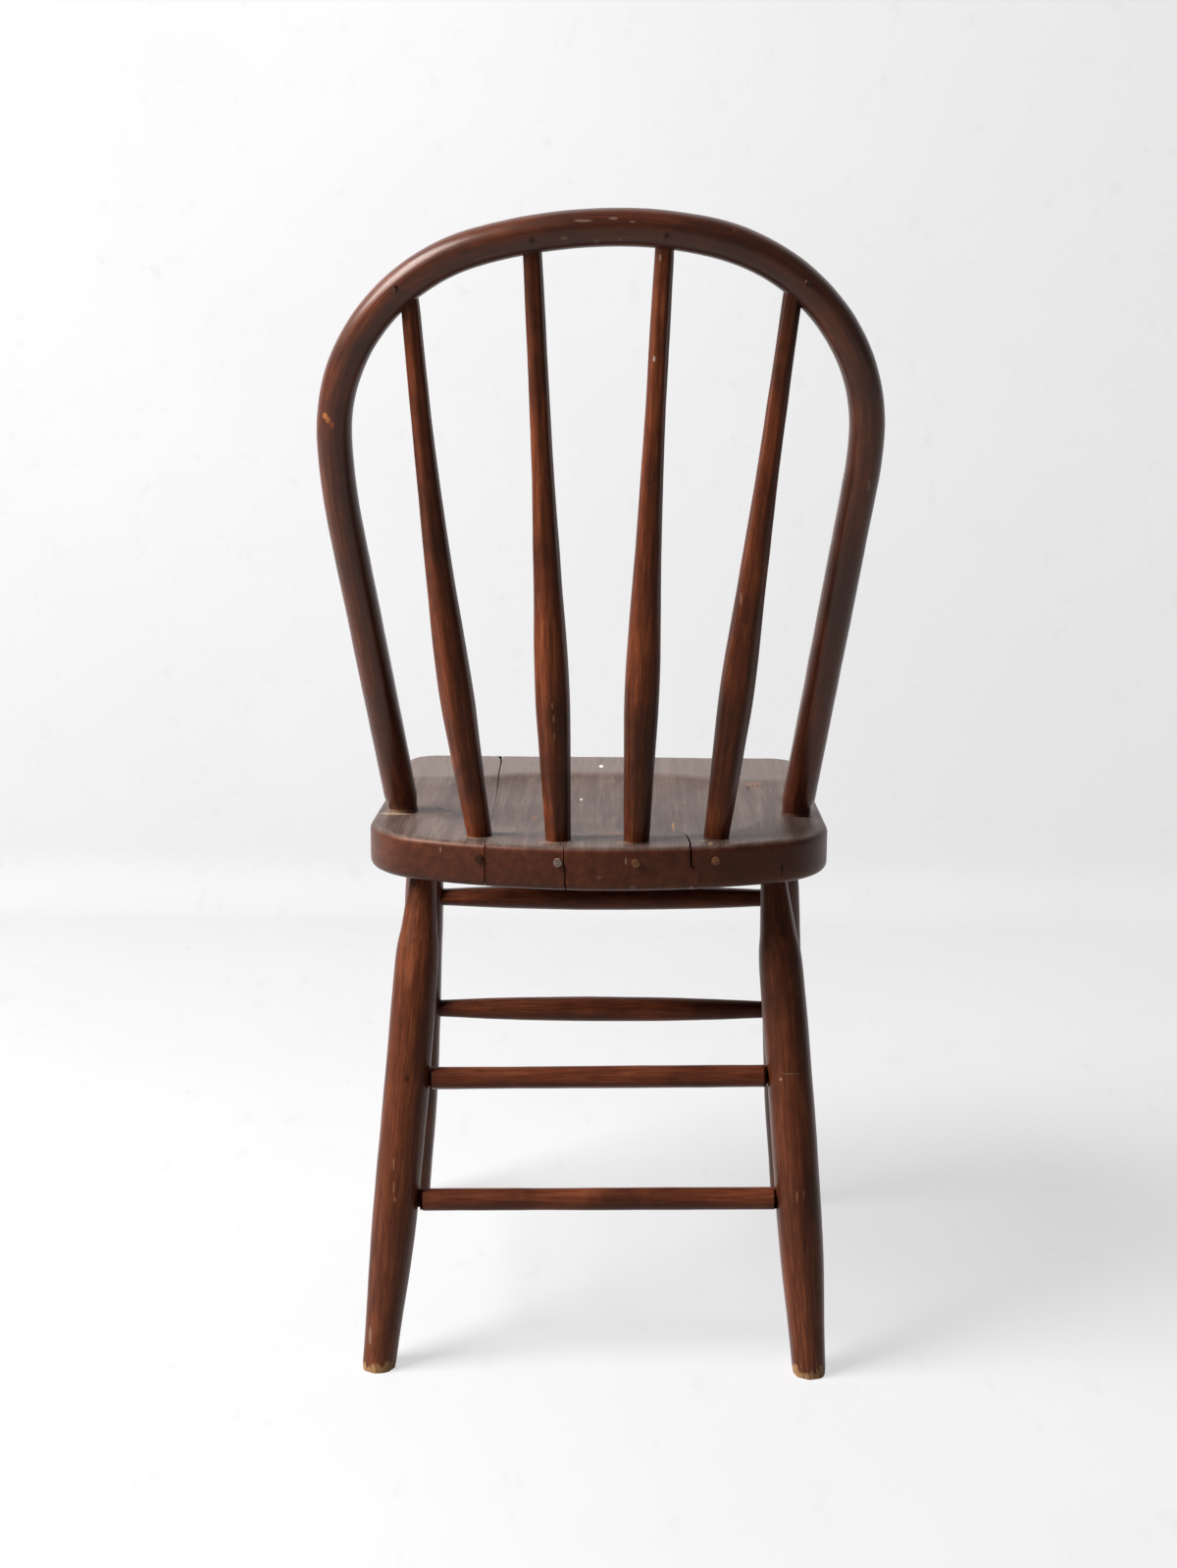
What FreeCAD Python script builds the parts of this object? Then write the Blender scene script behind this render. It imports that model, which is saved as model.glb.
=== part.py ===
import FreeCAD, Part
import math
import os
import Sketcher
from FreeCAD import Placement, Rotation, Vector

# Bow-back side chair: a saddled seat of two boards on four raked legs with box stretchers,
# and a bent bow that holds four turned spindles. Millimetres and degrees.
# +Z is up and the front faces -Y, so the sitter's left is +X. The origin is on the floor,
# under the middle of the chair's outline.

SIZES = {
    # Seat
    "seat_height": 432.0,
    "seat_thickness": 35.0,
    "seat_depth": 383.0,
    "seat_back_edge": 167.5,
    "seat_front_half": 180.0,
    "seat_rear_half": 185.3,
    "seat_back_radius": 342.0,
    "seat_front_corner_radius": 29.0,
    "seat_rear_corner_radius": 70.0,
    "seat_top_round": 5.0,
    "seat_bottom_round": 6.0,
    "saddle_half_width": 140.0,
    "saddle_half_depth": 128.0,
    "saddle_sink": 7.0,
    "saddle_ball": 60.0,
    "saddle_centre": 188.0,
    "board_joint_front": 94.0,
    "board_joint_rear": 86.5,
    "glue_line": 0.1,
    # Legs: how far each mortise stands in from the seat's side and from its back or front
    # edge, on the underside, and how far the leg splays from there to the floor
    "rear_mortise_from_side": 44.8,
    "rear_mortise_from_edge": 74.0,
    "rear_splay_out": 33.0,
    "rear_splay_along": 72.0,
    "front_mortise_from_side": 20.0,
    "front_mortise_from_edge": 63.0,
    "front_splay_out": 18.0,
    "front_splay_along": 46.0,
    "rear_left_bend": -2.2,
    "rear_right_bend": -1.5,
    "leg_foot": 26.2,
    "leg_trim_spare": 6.0,
    "leg_ankle": 29.8,
    "leg_ankle_up": 44.0,
    "leg_calf": 33.5,
    "leg_calf_up": 80.0,
    "leg_knee": 36.0,
    "leg_knee_up": 125.0,
    "leg_belly": 36.4,
    "leg_belly_up": 205.0,
    "leg_shoulder": 35.0,
    "leg_shoulder_down": 82.0,
    "leg_flare": 29.0,
    "leg_flare_down": 48.0,
    "leg_neck": 23.6,
    "leg_neck_down": 22.0,
    "leg_tenon": 21.0,
    "leg_plain": 5.0,
    "leg_tenon_length": 24.0,
    # Stretchers: heights of their axes at the legs
    "front_upper_left": 308.0,
    "front_upper_right": 310.5,
    "front_lower_left": 197.0,
    "front_lower_right": 199.5,
    "rear_upper_left": 230.0,
    "rear_upper_right": 235.5,
    "rear_lower_left": 133.5,
    "rear_lower_right": 138.5,
    "side_upper_rear": 264.0,
    "side_upper_front": 279.0,
    "side_lower_rear": 161.0,
    "side_lower_front": 172.0,
    "bulged_end": 16.0,
    "bulged_middle": 23.0,
    "bulged_plain": 5.0,
    "side_end": 15.0,
    "side_middle": 21.0,
    "plain_stretcher": 17.8,
    "plain_tenon": 13.0,
    "plain_shoulder_round": 2.2,
    "shoulder_stand_off": 1.3,
    "stretcher_past_axis": 4.0,
    # Bow: measured in its own raked plane, up from the seat's top
    "bow_foot_forward": 134.0,
    "bow_rake": 20.0,
    "bow_foot_half": 161.9,
    "bow_wide_half": 199.5,
    "bow_left_wide_up": 327.2,
    "bow_left_side_radius": 567.8,
    "bow_left_shoulder_angle": 73.5,
    "bow_right_wide_up": 334.9,
    "bow_right_side_radius": 324.9,
    "bow_right_shoulder_angle": 77.5,
    "bow_crown_up": 491.8,
    "bow_crown_shift": -14.9,
    "bow_width": 26.6,
    "bow_depth": 26.6,
    "bow_corner": 10.0,
    "bow_tenon": 23.4,
    "bow_tenon_plain": 5.0,
    "bow_taper": 22.0,
    "bow_taper_top": 29.6,
    "bow_tenon_run": 50.0,
    # Spindles: where each axis meets the seat's top and the bow's middle line
    "spindle_outer_out": 93.3,
    "spindle_outer_forward": 44.0,
    "spindle_inner_out": 30.5,
    "spindle_inner_forward": 30.0,
    "spindle_outer_left_top": 139.6,
    "spindle_inner_left_top": 48.8,
    "spindle_inner_right_top": 46.8,
    "spindle_outer_right_top": 140.8,
    "spindle_outer_left_bend": 4.2,
    "spindle_inner_left_bend": -0.5,
    "spindle_inner_right_bend": 1.4,
    "spindle_tenon": 19.6,
    "spindle_plain": 4.0,
    "spindle_tenon_length": 22.0,
    "spindle_swell": 24.0,
    "spindle_swell_up": 74.0,
    "spindle_belly": 26.3,
    "spindle_belly_up": 118.0,
    "spindle_waist": 23.9,
    "spindle_waist_up": 170.0,
    "spindle_shank": 20.3,
    "spindle_shank_up": 217.0,
    "spindle_stem": 15.2,
    "spindle_stem_up": 317.0,
    "spindle_top": 13.6,
    "spindle_top_plain": 22.0,
    "spindle_past_middle": 6.0,
    # Pegs, pins and wedges
    "seat_peg": 6.6,
    "seat_peg_down": 12.0,
    "seat_peg_past": 14.0,
    "bow_pin": 5.0,
    "bow_pin_past": 5.0,
    "bow_pin_slant": 8.5,
    "pin_head_chamfer": 0.6,
    "wedge_thick": 3.6,
    "wedge_thin": 1.4,
    "wedge_length": 24.0,
    "wedge_width": 18.0,
    # Fits
    "joint_play": 0.1,
    "socket_end_play": 0.5,
    "bore_lead": 30.0,
}

UP = Vector(0, 0, 1)
BACK = Vector(0, 1, 0)

doc = FreeCAD.newDocument("BowBackChair")
sheet = doc.addObject("Spreadsheet::Sheet", "Sizes")
size = {}
parts = []


def set_size(name, value):
    """Keeps one size in the sheet under its own name and gives it back."""
    cell = "B%d" % (len(size) + 1)
    sheet.set("A%d" % (len(size) + 1), name)
    sheet.set(cell, repr(round(float(value), 6)))
    sheet.setAlias(cell, name)
    size[name] = float(value)
    return size[name]


for size_name, size_value in SIZES.items():
    set_size(size_name, size_value)
doc.recompute()


# Sketch helpers: every length in a sketch is tied to a named size


def start_body(label, placement):
    """A new sub-part with its own frame."""
    body = doc.addObject("PartDesign::Body", label)
    body.Label = label
    body.Placement = placement
    parts.append(body)
    return body


def start_sketch(body, name, plane="XY_Plane", offset=Placement()):
    """A sketch on one of the body's own planes, moved by an offset in that plane's frame."""
    sketch = body.newObject("Sketcher::SketchObject", name)
    support = [item for item in body.Origin.OriginFeatures if item.Role == plane][0]
    sketch.AttachmentSupport = [(support, "")]
    sketch.MapMode = "FlatFace"
    sketch.AttachmentOffset = offset
    return sketch


def tie(sketch, kind, where, name, factor=1.0):
    """A driving constraint whose value is a named size times a factor."""
    constraint = sketch.addConstraint(Sketcher.Constraint(kind, *where, size[name] * factor))
    sketch.setExpression("Constraints[%d]" % constraint, "Sizes.%s * %r" % (name, factor))


def tie_point(sketch, geometry, point, across, up):
    """Ties a sketch point to (name, factor) pairs across and up; None leaves that way free."""
    for kind, pair in (("DistanceX", across), ("DistanceY", up)):
        if pair is None:
            continue
        name, factor = pair
        if size[name] * factor >= 0:
            tie(sketch, kind, (-1, 1, geometry, point), name, factor)
        else:
            tie(sketch, kind, (geometry, point, -1, 1), name, -factor)


def draw_circle(sketch, diameter):
    """A circle about the sketch's own centre."""
    sketch.addGeometry(Part.Circle(Vector(), UP, size[diameter] / 2))
    sketch.addConstraint(Sketcher.Constraint("Coincident", 0, 3, -1, 1))
    tie(sketch, "Diameter", (0,), diameter)


def nearest_end(sketch, geometry, point):
    """Which end of a piece of a sketch lies at a point."""
    return min((1, 2), key=lambda end: sketch.getPoint(geometry, end).distanceToPoint(point))


def join_ends(sketch, first, second, kind="Coincident"):
    """Joins two pieces of a sketch where their ends meet; Tangent keeps one direction too."""
    pairs = [(one, two) for one in (1, 2) for two in (1, 2)]
    one, two = min(pairs, key=lambda ends: sketch.getPoint(first, ends[0]).distanceToPoint(
        sketch.getPoint(second, ends[1])))
    sketch.addConstraint(Sketcher.Constraint(kind, first, one, second, two))


def draw_outline(sketch, corners, arcs=None):
    """A closed outline. Each corner is a pair of (name, factor) pairs, or None on an axis.

    An arc replaces the straight piece after its corner: the name of its radius, and a
    point that it passes through.
    """
    arcs = arcs or {}
    points = []
    for across, up in corners:
        x = size[across[0]] * across[1] if across else 0.0
        y = size[up[0]] * up[1] if up else 0.0
        points.append(Vector(x, y, 0))
    count = len(points)
    for index, point in enumerate(points):
        after = points[(index + 1) % count]
        if index in arcs:
            sketch.addGeometry(Part.Arc(point, arcs[index][1], after))
        else:
            sketch.addGeometry(Part.LineSegment(point, after))
    for index in range(count):
        join_ends(sketch, index, (index + 1) % count)
    for index, (across, up) in enumerate(corners):
        line, point = (index, 1) if index not in arcs else ((index - 1) % count, 2)
        if across is None:
            sketch.addConstraint(Sketcher.Constraint("PointOnObject", line, point, -2))
        if up is None:
            sketch.addConstraint(Sketcher.Constraint("PointOnObject", line, point, -1))
        tie_point(sketch, line, point, across, up)
    for index, (radius, _) in arcs.items():
        tie(sketch, "Radius", (index,), radius)


def draw_rounded_rectangle(sketch, width, depth, corner):
    """A rectangle with round corners about the sketch's centre."""
    half_x, half_y, radius = size[width] / 2, size[depth] / 2, size[corner]
    quarter = math.pi / 2
    signs = [(1, 1), (-1, 1), (-1, -1), (1, -1)]
    for index, (across, up) in enumerate(signs):
        middle = Vector(across * (half_x - radius), up * (half_y - radius), 0)
        sketch.addGeometry(Part.ArcOfCircle(Part.Circle(middle, UP, radius),
                                            index * quarter, (index + 1) * quarter))
    for index in range(4):
        start, stop = sketch.getPoint(index, 2), sketch.getPoint((index + 1) % 4, 1)
        sketch.addGeometry(Part.LineSegment(start, stop))
    for index in range(4):
        sketch.addConstraint(Sketcher.Constraint("Tangent", index, 2, index + 4, 1))
        sketch.addConstraint(Sketcher.Constraint("Tangent", index + 4, 2, (index + 1) % 4, 1))
    for index in range(1, 4):
        sketch.addConstraint(Sketcher.Constraint("Equal", 0, index))
    for line, kind in ((4, "Horizontal"), (5, "Vertical"), (6, "Horizontal"), (7, "Vertical")):
        sketch.addConstraint(Sketcher.Constraint(kind, line))
    tie(sketch, "Radius", (0,), corner)
    tie(sketch, "DistanceX", (5, 1, 7, 1), width)
    tie(sketch, "DistanceY", (6, 1, 4, 1), depth)
    sketch.addConstraint(Sketcher.Constraint("Symmetric", 0, 3, 2, 3, -1, 1))


def pad(body, name, sketch, length, symmetric=False, backwards=False):
    """Adds the sketch's outline as a prism as long as the named size."""
    feature = body.newObject("PartDesign::Pad", name)
    feature.Profile = sketch
    feature.Length = size[length]
    feature.Midplane = symmetric
    feature.Reversed = backwards
    feature.setExpression("Length", "Sizes." + length)
    return feature


def revolve(body, name, sketch, kind="PartDesign::Revolution"):
    """Turns the sketch's outline about its upright axis."""
    feature = body.newObject(kind, name)
    feature.Profile = sketch
    feature.ReferenceAxis = (sketch, ["V_Axis"])
    feature.Angle = 360.0
    return feature


def cut_from(body, name, frame, diameter, depth):
    """Bores a round hole. The frame is the room's: its +Z points out of the hole."""
    sketch = start_sketch(body, name + "_circle", offset=body.Placement.inverse() * frame)
    draw_circle(sketch, diameter)
    feature = body.newObject("PartDesign::Pocket", name)
    feature.Profile = sketch
    feature.Length = size[depth]
    feature.setExpression("Length", "Sizes." + depth)
    return feature


def trim_below(body, name, point, height):
    """Cuts off what reaches below a level of the room, round about a point."""
    level = Placement(Vector(point.x, point.y, height), Rotation())
    return cut_from(body, name, level, "trim_disc", "trim_depth")


def aim(start, direction):
    """A frame at a point of the room whose +Z looks along a direction."""
    return Placement(start, Rotation(UP, direction))


def edges_where(feature, test):
    """Names of the edges of a feature that pass a test."""
    edges = feature.Shape.Edges
    return ["Edge%d" % (index + 1) for index, edge in enumerate(edges) if test(edge)]


def is_upright(edge):
    """Whether an edge is a straight line along Z."""
    box = edge.BoundBox
    return box.ZLength > 1 and box.XLength < 0.01 and box.YLength < 0.01


def lies_at(edge, height):
    """Whether an edge lies flat at a height of its body."""
    return abs(edge.BoundBox.ZMin - height) < 0.01 and abs(edge.BoundBox.ZMax - height) < 0.01


def round_edges(body, name, base, test, radius, kind="PartDesign::Fillet"):
    """Rounds or chamfers the edges of the last feature that pass a test."""
    doc.recompute()
    feature = body.newObject(kind, name)
    feature.Base = (base, edges_where(base, test))
    target = "Radius" if kind == "PartDesign::Fillet" else "Size"
    setattr(feature, target, size[radius])
    feature.setExpression(target, "Sizes." + radius)
    return feature


def bend_shift(bend, along, start, stop):
    """How far a bent piece stands off its straight axis, with the bend itself midway."""
    share = (along - start) / (stop - start)
    return 4 * bend * share * (1 - share)


def turn_from_sections(body, stations, bend):
    """Lofts a turned shape through round sections: pairs of a diameter and a station.

    The stations are named sizes along the body's Z axis, and the bend is towards its +X.
    """
    start, stop = size[stations[0][1]], size[stations[-1][1]]
    sections = []
    for diameter, station in stations:
        shift = bend_shift(bend, size[station], start, stop)
        offset = Placement(Vector(shift, 0, size[station]), Rotation())
        sketch = start_sketch(body, "section_" + station, offset=offset)
        sketch.setExpression("AttachmentOffset.Base.z", "Sizes." + station)
        draw_circle(sketch, diameter)
        sections.append(sketch)
    feature = body.newObject("PartDesign::AdditiveLoft", "turned_shape")
    feature.Profile = sections[0]
    feature.Sections = sections[1:]
    return feature


def add_tenon(body, name, diameter, start, length, backwards=False):
    """A plain round end from a named station, up or down the body's axis."""
    offset = Placement(Vector(0, 0, size[start]), Rotation())
    sketch = start_sketch(body, name + "_circle", offset=offset)
    sketch.setExpression("AttachmentOffset.Base.z", "Sizes." + start)
    draw_circle(sketch, diameter)
    return pad(body, name, sketch, length, backwards=backwards)


# Sizes that follow from the driving ones

back_edge = size["seat_back_edge"]
seat_top = size["seat_height"]
seat_under = seat_top - size["seat_thickness"]
play = size["joint_play"]
end_play = size["socket_end_play"]
lead = size["bore_lead"]

set_size("trim_disc", 6 * size["leg_foot"])
set_size("trim_depth", 4 * size["seat_thickness"])
for fitted in ("leg_tenon", "spindle_tenon", "spindle_top", "bulged_end", "side_end",
               "plain_tenon", "bow_tenon", "seat_peg", "bow_pin"):
    set_size(fitted + "_bore", size[fitted] + play)
set_size("leg_bore_depth", lead + size["leg_tenon_length"] + end_play)
set_size("spindle_bore_depth", lead + size["spindle_tenon_length"] + end_play)
set_size("spindle_top_bore_depth", lead + size["spindle_past_middle"] + end_play)
set_size("stretcher_bore_depth", lead + size["stretcher_past_axis"] + end_play)
set_size("bow_bore_depth", lead + 3 * size["seat_thickness"])


# Where the pieces lie


def on_seat(out, forward, height):
    """A point of the room from its place on the seat."""
    return Vector(out, back_edge - forward, height)


LEGS = {}
for corner, side in (("rear_left", 1), ("rear_right", -1), ("front_left", 1), ("front_right", -1)):
    row = corner.split("_")[0]
    out = size["seat_%s_half" % row] - size[row + "_mortise_from_side"]
    forward, splay = size[row + "_mortise_from_edge"], -size[row + "_splay_along"]
    if row == "front":
        forward, splay = size["seat_depth"] - forward, -splay
    LEGS[corner] = {
        "foot": on_seat(side * (out + size[row + "_splay_out"]), forward + splay, 0),
        "top": on_seat(side * out, forward, seat_under),
        "bend": size.get(corner + "_bend", 0.0),
    }


def leg_axis(corner):
    """Direction of a leg from its foot to the seat, and the length between them."""
    run = LEGS[corner]["top"] - LEGS[corner]["foot"]
    return Vector(run).normalize(), run.Length


def leg_point(corner, height):
    """The middle of a leg at a height above the floor, with the leg's own bend."""
    axis, length = leg_axis(corner)
    along = height / axis.z
    shift = bend_shift(LEGS[corner]["bend"], along, -size["leg_trim_spare"], length - size["leg_plain"])
    return LEGS[corner]["foot"] + axis * along + aim(Vector(), axis).multVec(Vector(shift, 0, 0))


STRETCHERS = []
for level in ("upper", "lower"):
    STRETCHERS += [
        ("stretcher_front_" + level, "front_left", "front_right",
         "front_%s_left" % level, "front_%s_right" % level, "bulged"),
        ("stretcher_rear_" + level, "rear_left", "rear_right",
         "rear_%s_left" % level, "rear_%s_right" % level, "plain"),
        ("stretcher_left_" + level, "rear_left", "front_left",
         "side_%s_rear" % level, "side_%s_front" % level, "side"),
        ("stretcher_right_" + level, "rear_right", "front_right",
         "side_%s_rear" % level, "side_%s_front" % level, "side"),
    ]
STRETCHER_ENDS = {"bulged": "bulged_end", "side": "side_end", "plain": "plain_tenon"}
STRETCHER_MIDDLES = {"bulged": "bulged_middle", "side": "side_middle"}


BOW_SIDES = {1: "bow_left_", -1: "bow_right_"}


def arch_half(side):
    """One half of the bow's middle line, outwards positive and up from the seat's top.

    A straight leg runs into a side arc, which ends upright at the widest point. From there
    a shoulder arc turns by that side's angle, and a crown arc ends level at the crown.
    """
    bend = BOW_SIDES[side]
    wide, wide_up, turn = size["bow_wide_half"], size[bend + "wide_up"], size[bend + "shoulder_angle"]
    crown = side * size["bow_crown_shift"]
    reach, rise = wide - crown, size["bow_crown_up"] - wide_up
    cosine, sine = math.cos(math.radians(turn)), math.sin(math.radians(turn))
    share = 1 - cosine - sine
    shoulder = (reach * (1 - sine) - rise * cosine) / share
    top = (rise * (1 - cosine) - reach * sine) / share
    flank = size[bend + "side_radius"]
    flank_middle = Vector(wide - flank, wide_up, 0)
    foot = Vector(size["bow_foot_half"], 0, 0)
    run = foot - flank_middle
    touch = math.atan2(run.y, run.x) + math.acos(flank / run.Length)
    knee = flank_middle + Vector(math.cos(touch), math.sin(touch), 0) * flank
    return {
        "foot": foot, "knee": knee, "wide": Vector(wide, wide_up, 0),
        "flank_middle": flank_middle, "flank": flank,
        "shoulder_middle": Vector(wide - shoulder, wide_up, 0), "shoulder": shoulder,
        "top_middle": Vector(crown, size["bow_crown_up"] - top, 0), "top": top,
        "change": Vector(crown + top * cosine, size["bow_crown_up"] - top * (1 - sine), 0),
        "crown": Vector(crown, size["bow_crown_up"], 0),
    }


ARCH = {side: arch_half(side) for side in BOW_SIDES}
BOW_FRAME = Placement(on_seat(0, size["bow_foot_forward"], seat_top),
                      Rotation(Vector(1, 0, 0), -size["bow_rake"]))
for side, bend in BOW_SIDES.items():
    set_size(bend + "shoulder_radius", ARCH[side]["shoulder"])


def on_bow(across, up, back=0.0):
    """A point of the room from its place in the bow's plane, and behind that plane."""
    return BOW_FRAME.multVec(Vector(across, back, up))


def arch_height(across):
    """How far up its plane the bow's middle line stands at a place across."""
    side = 1 if across > size["bow_crown_shift"] else -1
    half = ARCH[side]
    out = side * across
    name = "top" if out < half["change"].x else "shoulder"
    middle = half[name + "_middle"]
    return middle.y + math.sqrt(half[name] ** 2 - (out - middle.x) ** 2)


def back_edge_at(across):
    """Where the seat's curved back edge lies at a place across."""
    radius = size["seat_back_radius"]
    return back_edge - radius + math.sqrt(radius ** 2 - across ** 2)


SPINDLES = {}
for place, side in (("outer_left", 1), ("inner_left", 1), ("inner_right", -1), ("outer_right", -1)):
    ring = place.split("_")[0]
    across = side * size["spindle_%s_top" % place]
    base = on_seat(side * size["spindle_%s_out" % ring], size["spindle_%s_forward" % ring], seat_top)
    top = on_bow(across, arch_height(across))
    axis = (top - base).normalize()
    length = (top - base).Length
    pegged = base - axis * (size["seat_peg_down"] / axis.z)
    peg_head = Vector(pegged.x, back_edge_at(pegged.x), pegged.z)
    slant = side * size["bow_pin_slant"] if ring == "outer" else 0.0
    pin_head = on_bow(across + slant, arch_height(across), size["bow_depth"] / 2)
    pin_axis = (pin_head - top).normalize()
    SPINDLES[place] = {
        "base": base, "top": top, "axis": axis, "bend": size.get("spindle_%s_bend" % place, 0.0),
        "peg_head": peg_head, "peg_tip": pegged - BACK * size["seat_peg_past"],
        "pin_head": pin_head, "pin_tip": top - pin_axis * size["bow_pin_past"], "pin_axis": pin_axis,
    }
    set_size("peg_depth_" + place, lead + peg_head.y - pegged.y + size["seat_peg_past"] + end_play)
    set_size("pin_depth_" + place, lead + (pin_head - top).Length + size["bow_pin_past"] + end_play)
    set_size(place + "_top_plain_up", length - size["spindle_top_plain"])

BOW_FEET = {}
ON_SIDE = Placement(Vector(), Rotation(Vector(1, 1, 1), 120))
for side, name in ((1, "left"), (-1, "right")):
    run = (ARCH[side]["knee"] - ARCH[side]["foot"]).normalize()
    foot_point = on_bow(side * size["bow_foot_half"], 0)
    axis = BOW_FRAME.Rotation.multVec(Vector(side * run.x, 0, run.y))
    under = foot_point - axis * (size["seat_thickness"] / axis.z)
    lean = math.degrees(math.atan2(side * run.x, run.y))
    turn = BOW_FRAME.Rotation * Rotation(Vector(0, 1, 0), lean)
    BOW_FEET[side] = {"name": name, "run": run, "seat": foot_point, "axis": axis, "under": under,
                      "wedge_frame": Placement(under, turn)}
    set_size(BOW_SIDES[side] + "end_half", size["bow_foot_half"] - run.x * size["bow_tenon_run"])
    set_size(BOW_SIDES[side] + "end_down", run.y * size["bow_tenon_run"])

set_size("bow_groove_reach", 2 * size["bow_width"])
set_size("bow_groove_down", 1.5 * size["bow_tenon_run"])
set_size("wedge_spare", 2 * size["wedge_thick"])
set_size("kerf_thick", size["wedge_thick"] + play)
set_size("kerf_thin", size["wedge_thin"] + play)
set_size("kerf_length", size["wedge_length"] + end_play)
set_size("leg_start", -size["leg_trim_spare"])
set_size("leg_tenon_run", size["leg_plain"] + size["leg_tenon_length"])
set_size("spindle_tenon_run", size["spindle_plain"] + size["spindle_tenon_length"])
set_size("spindle_top_run", size["spindle_top_plain"] + size["spindle_past_middle"])
leg_surface = size["stretcher_past_axis"] + size["leg_belly"] / 2
set_size("plain_shoulder_at", leg_surface + size["shoulder_stand_off"])
set_size("bulged_plain_at", leg_surface + size["bulged_plain"])
set_size("seat_rear_forward", size["seat_back_radius"]
         - math.sqrt(size["seat_back_radius"] ** 2 - size["seat_rear_half"] ** 2))
for corner in LEGS:
    _, leg_length = leg_axis(corner)
    for name in ("shoulder", "flare", "neck"):
        set_size("%s_%s_up" % (corner, name), leg_length - size["leg_%s_down" % name])
    set_size(corner + "_plain_up", leg_length - size["leg_plain"])
for label, first, second, first_up, second_up, kind in STRETCHERS:
    span = (leg_point(second, size[second_up]) - leg_point(first, size[first_up])).Length
    total = set_size(label + "_length", span + 2 * size["stretcher_past_axis"])
    inner = size["plain_shoulder_at" if kind == "plain" else "bulged_plain_at"]
    set_size(label + "_far", total - inner)
    if kind != "plain":
        bulge = (size[STRETCHER_MIDDLES[kind]] - size[STRETCHER_ENDS[kind]]) / 2
        half = total / 2 - inner
        set_size(label + "_arc", (half ** 2 + bulge ** 2) / (2 * bulge))
for place, spindle in SPINDLES.items():
    set_size("seat_peg_%s_length" % place, (spindle["peg_head"] - spindle["peg_tip"]).Length)
    set_size("bow_pin_%s_length" % place, (spindle["pin_head"] - spindle["pin_tip"]).Length)
joint_slope = (size["board_joint_front"] - size["board_joint_rear"]) / size["seat_depth"]
joint_margin = size["seat_thickness"]
set_size("joint_front_reach", size["seat_depth"] + joint_margin)
set_size("joint_rear_reach", joint_margin)
set_size("joint_clear", size["seat_front_half"] + joint_margin)
set_size("joint_front_wide", size["board_joint_front"] + joint_slope * joint_margin)
set_size("joint_rear_wide", size["board_joint_rear"] - joint_slope * joint_margin)
set_size("joint_front_narrow", size["joint_front_wide"] + size["glue_line"])
set_size("joint_rear_narrow", size["joint_rear_wide"] + size["glue_line"])
doc.recompute()


# Pieces


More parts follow.
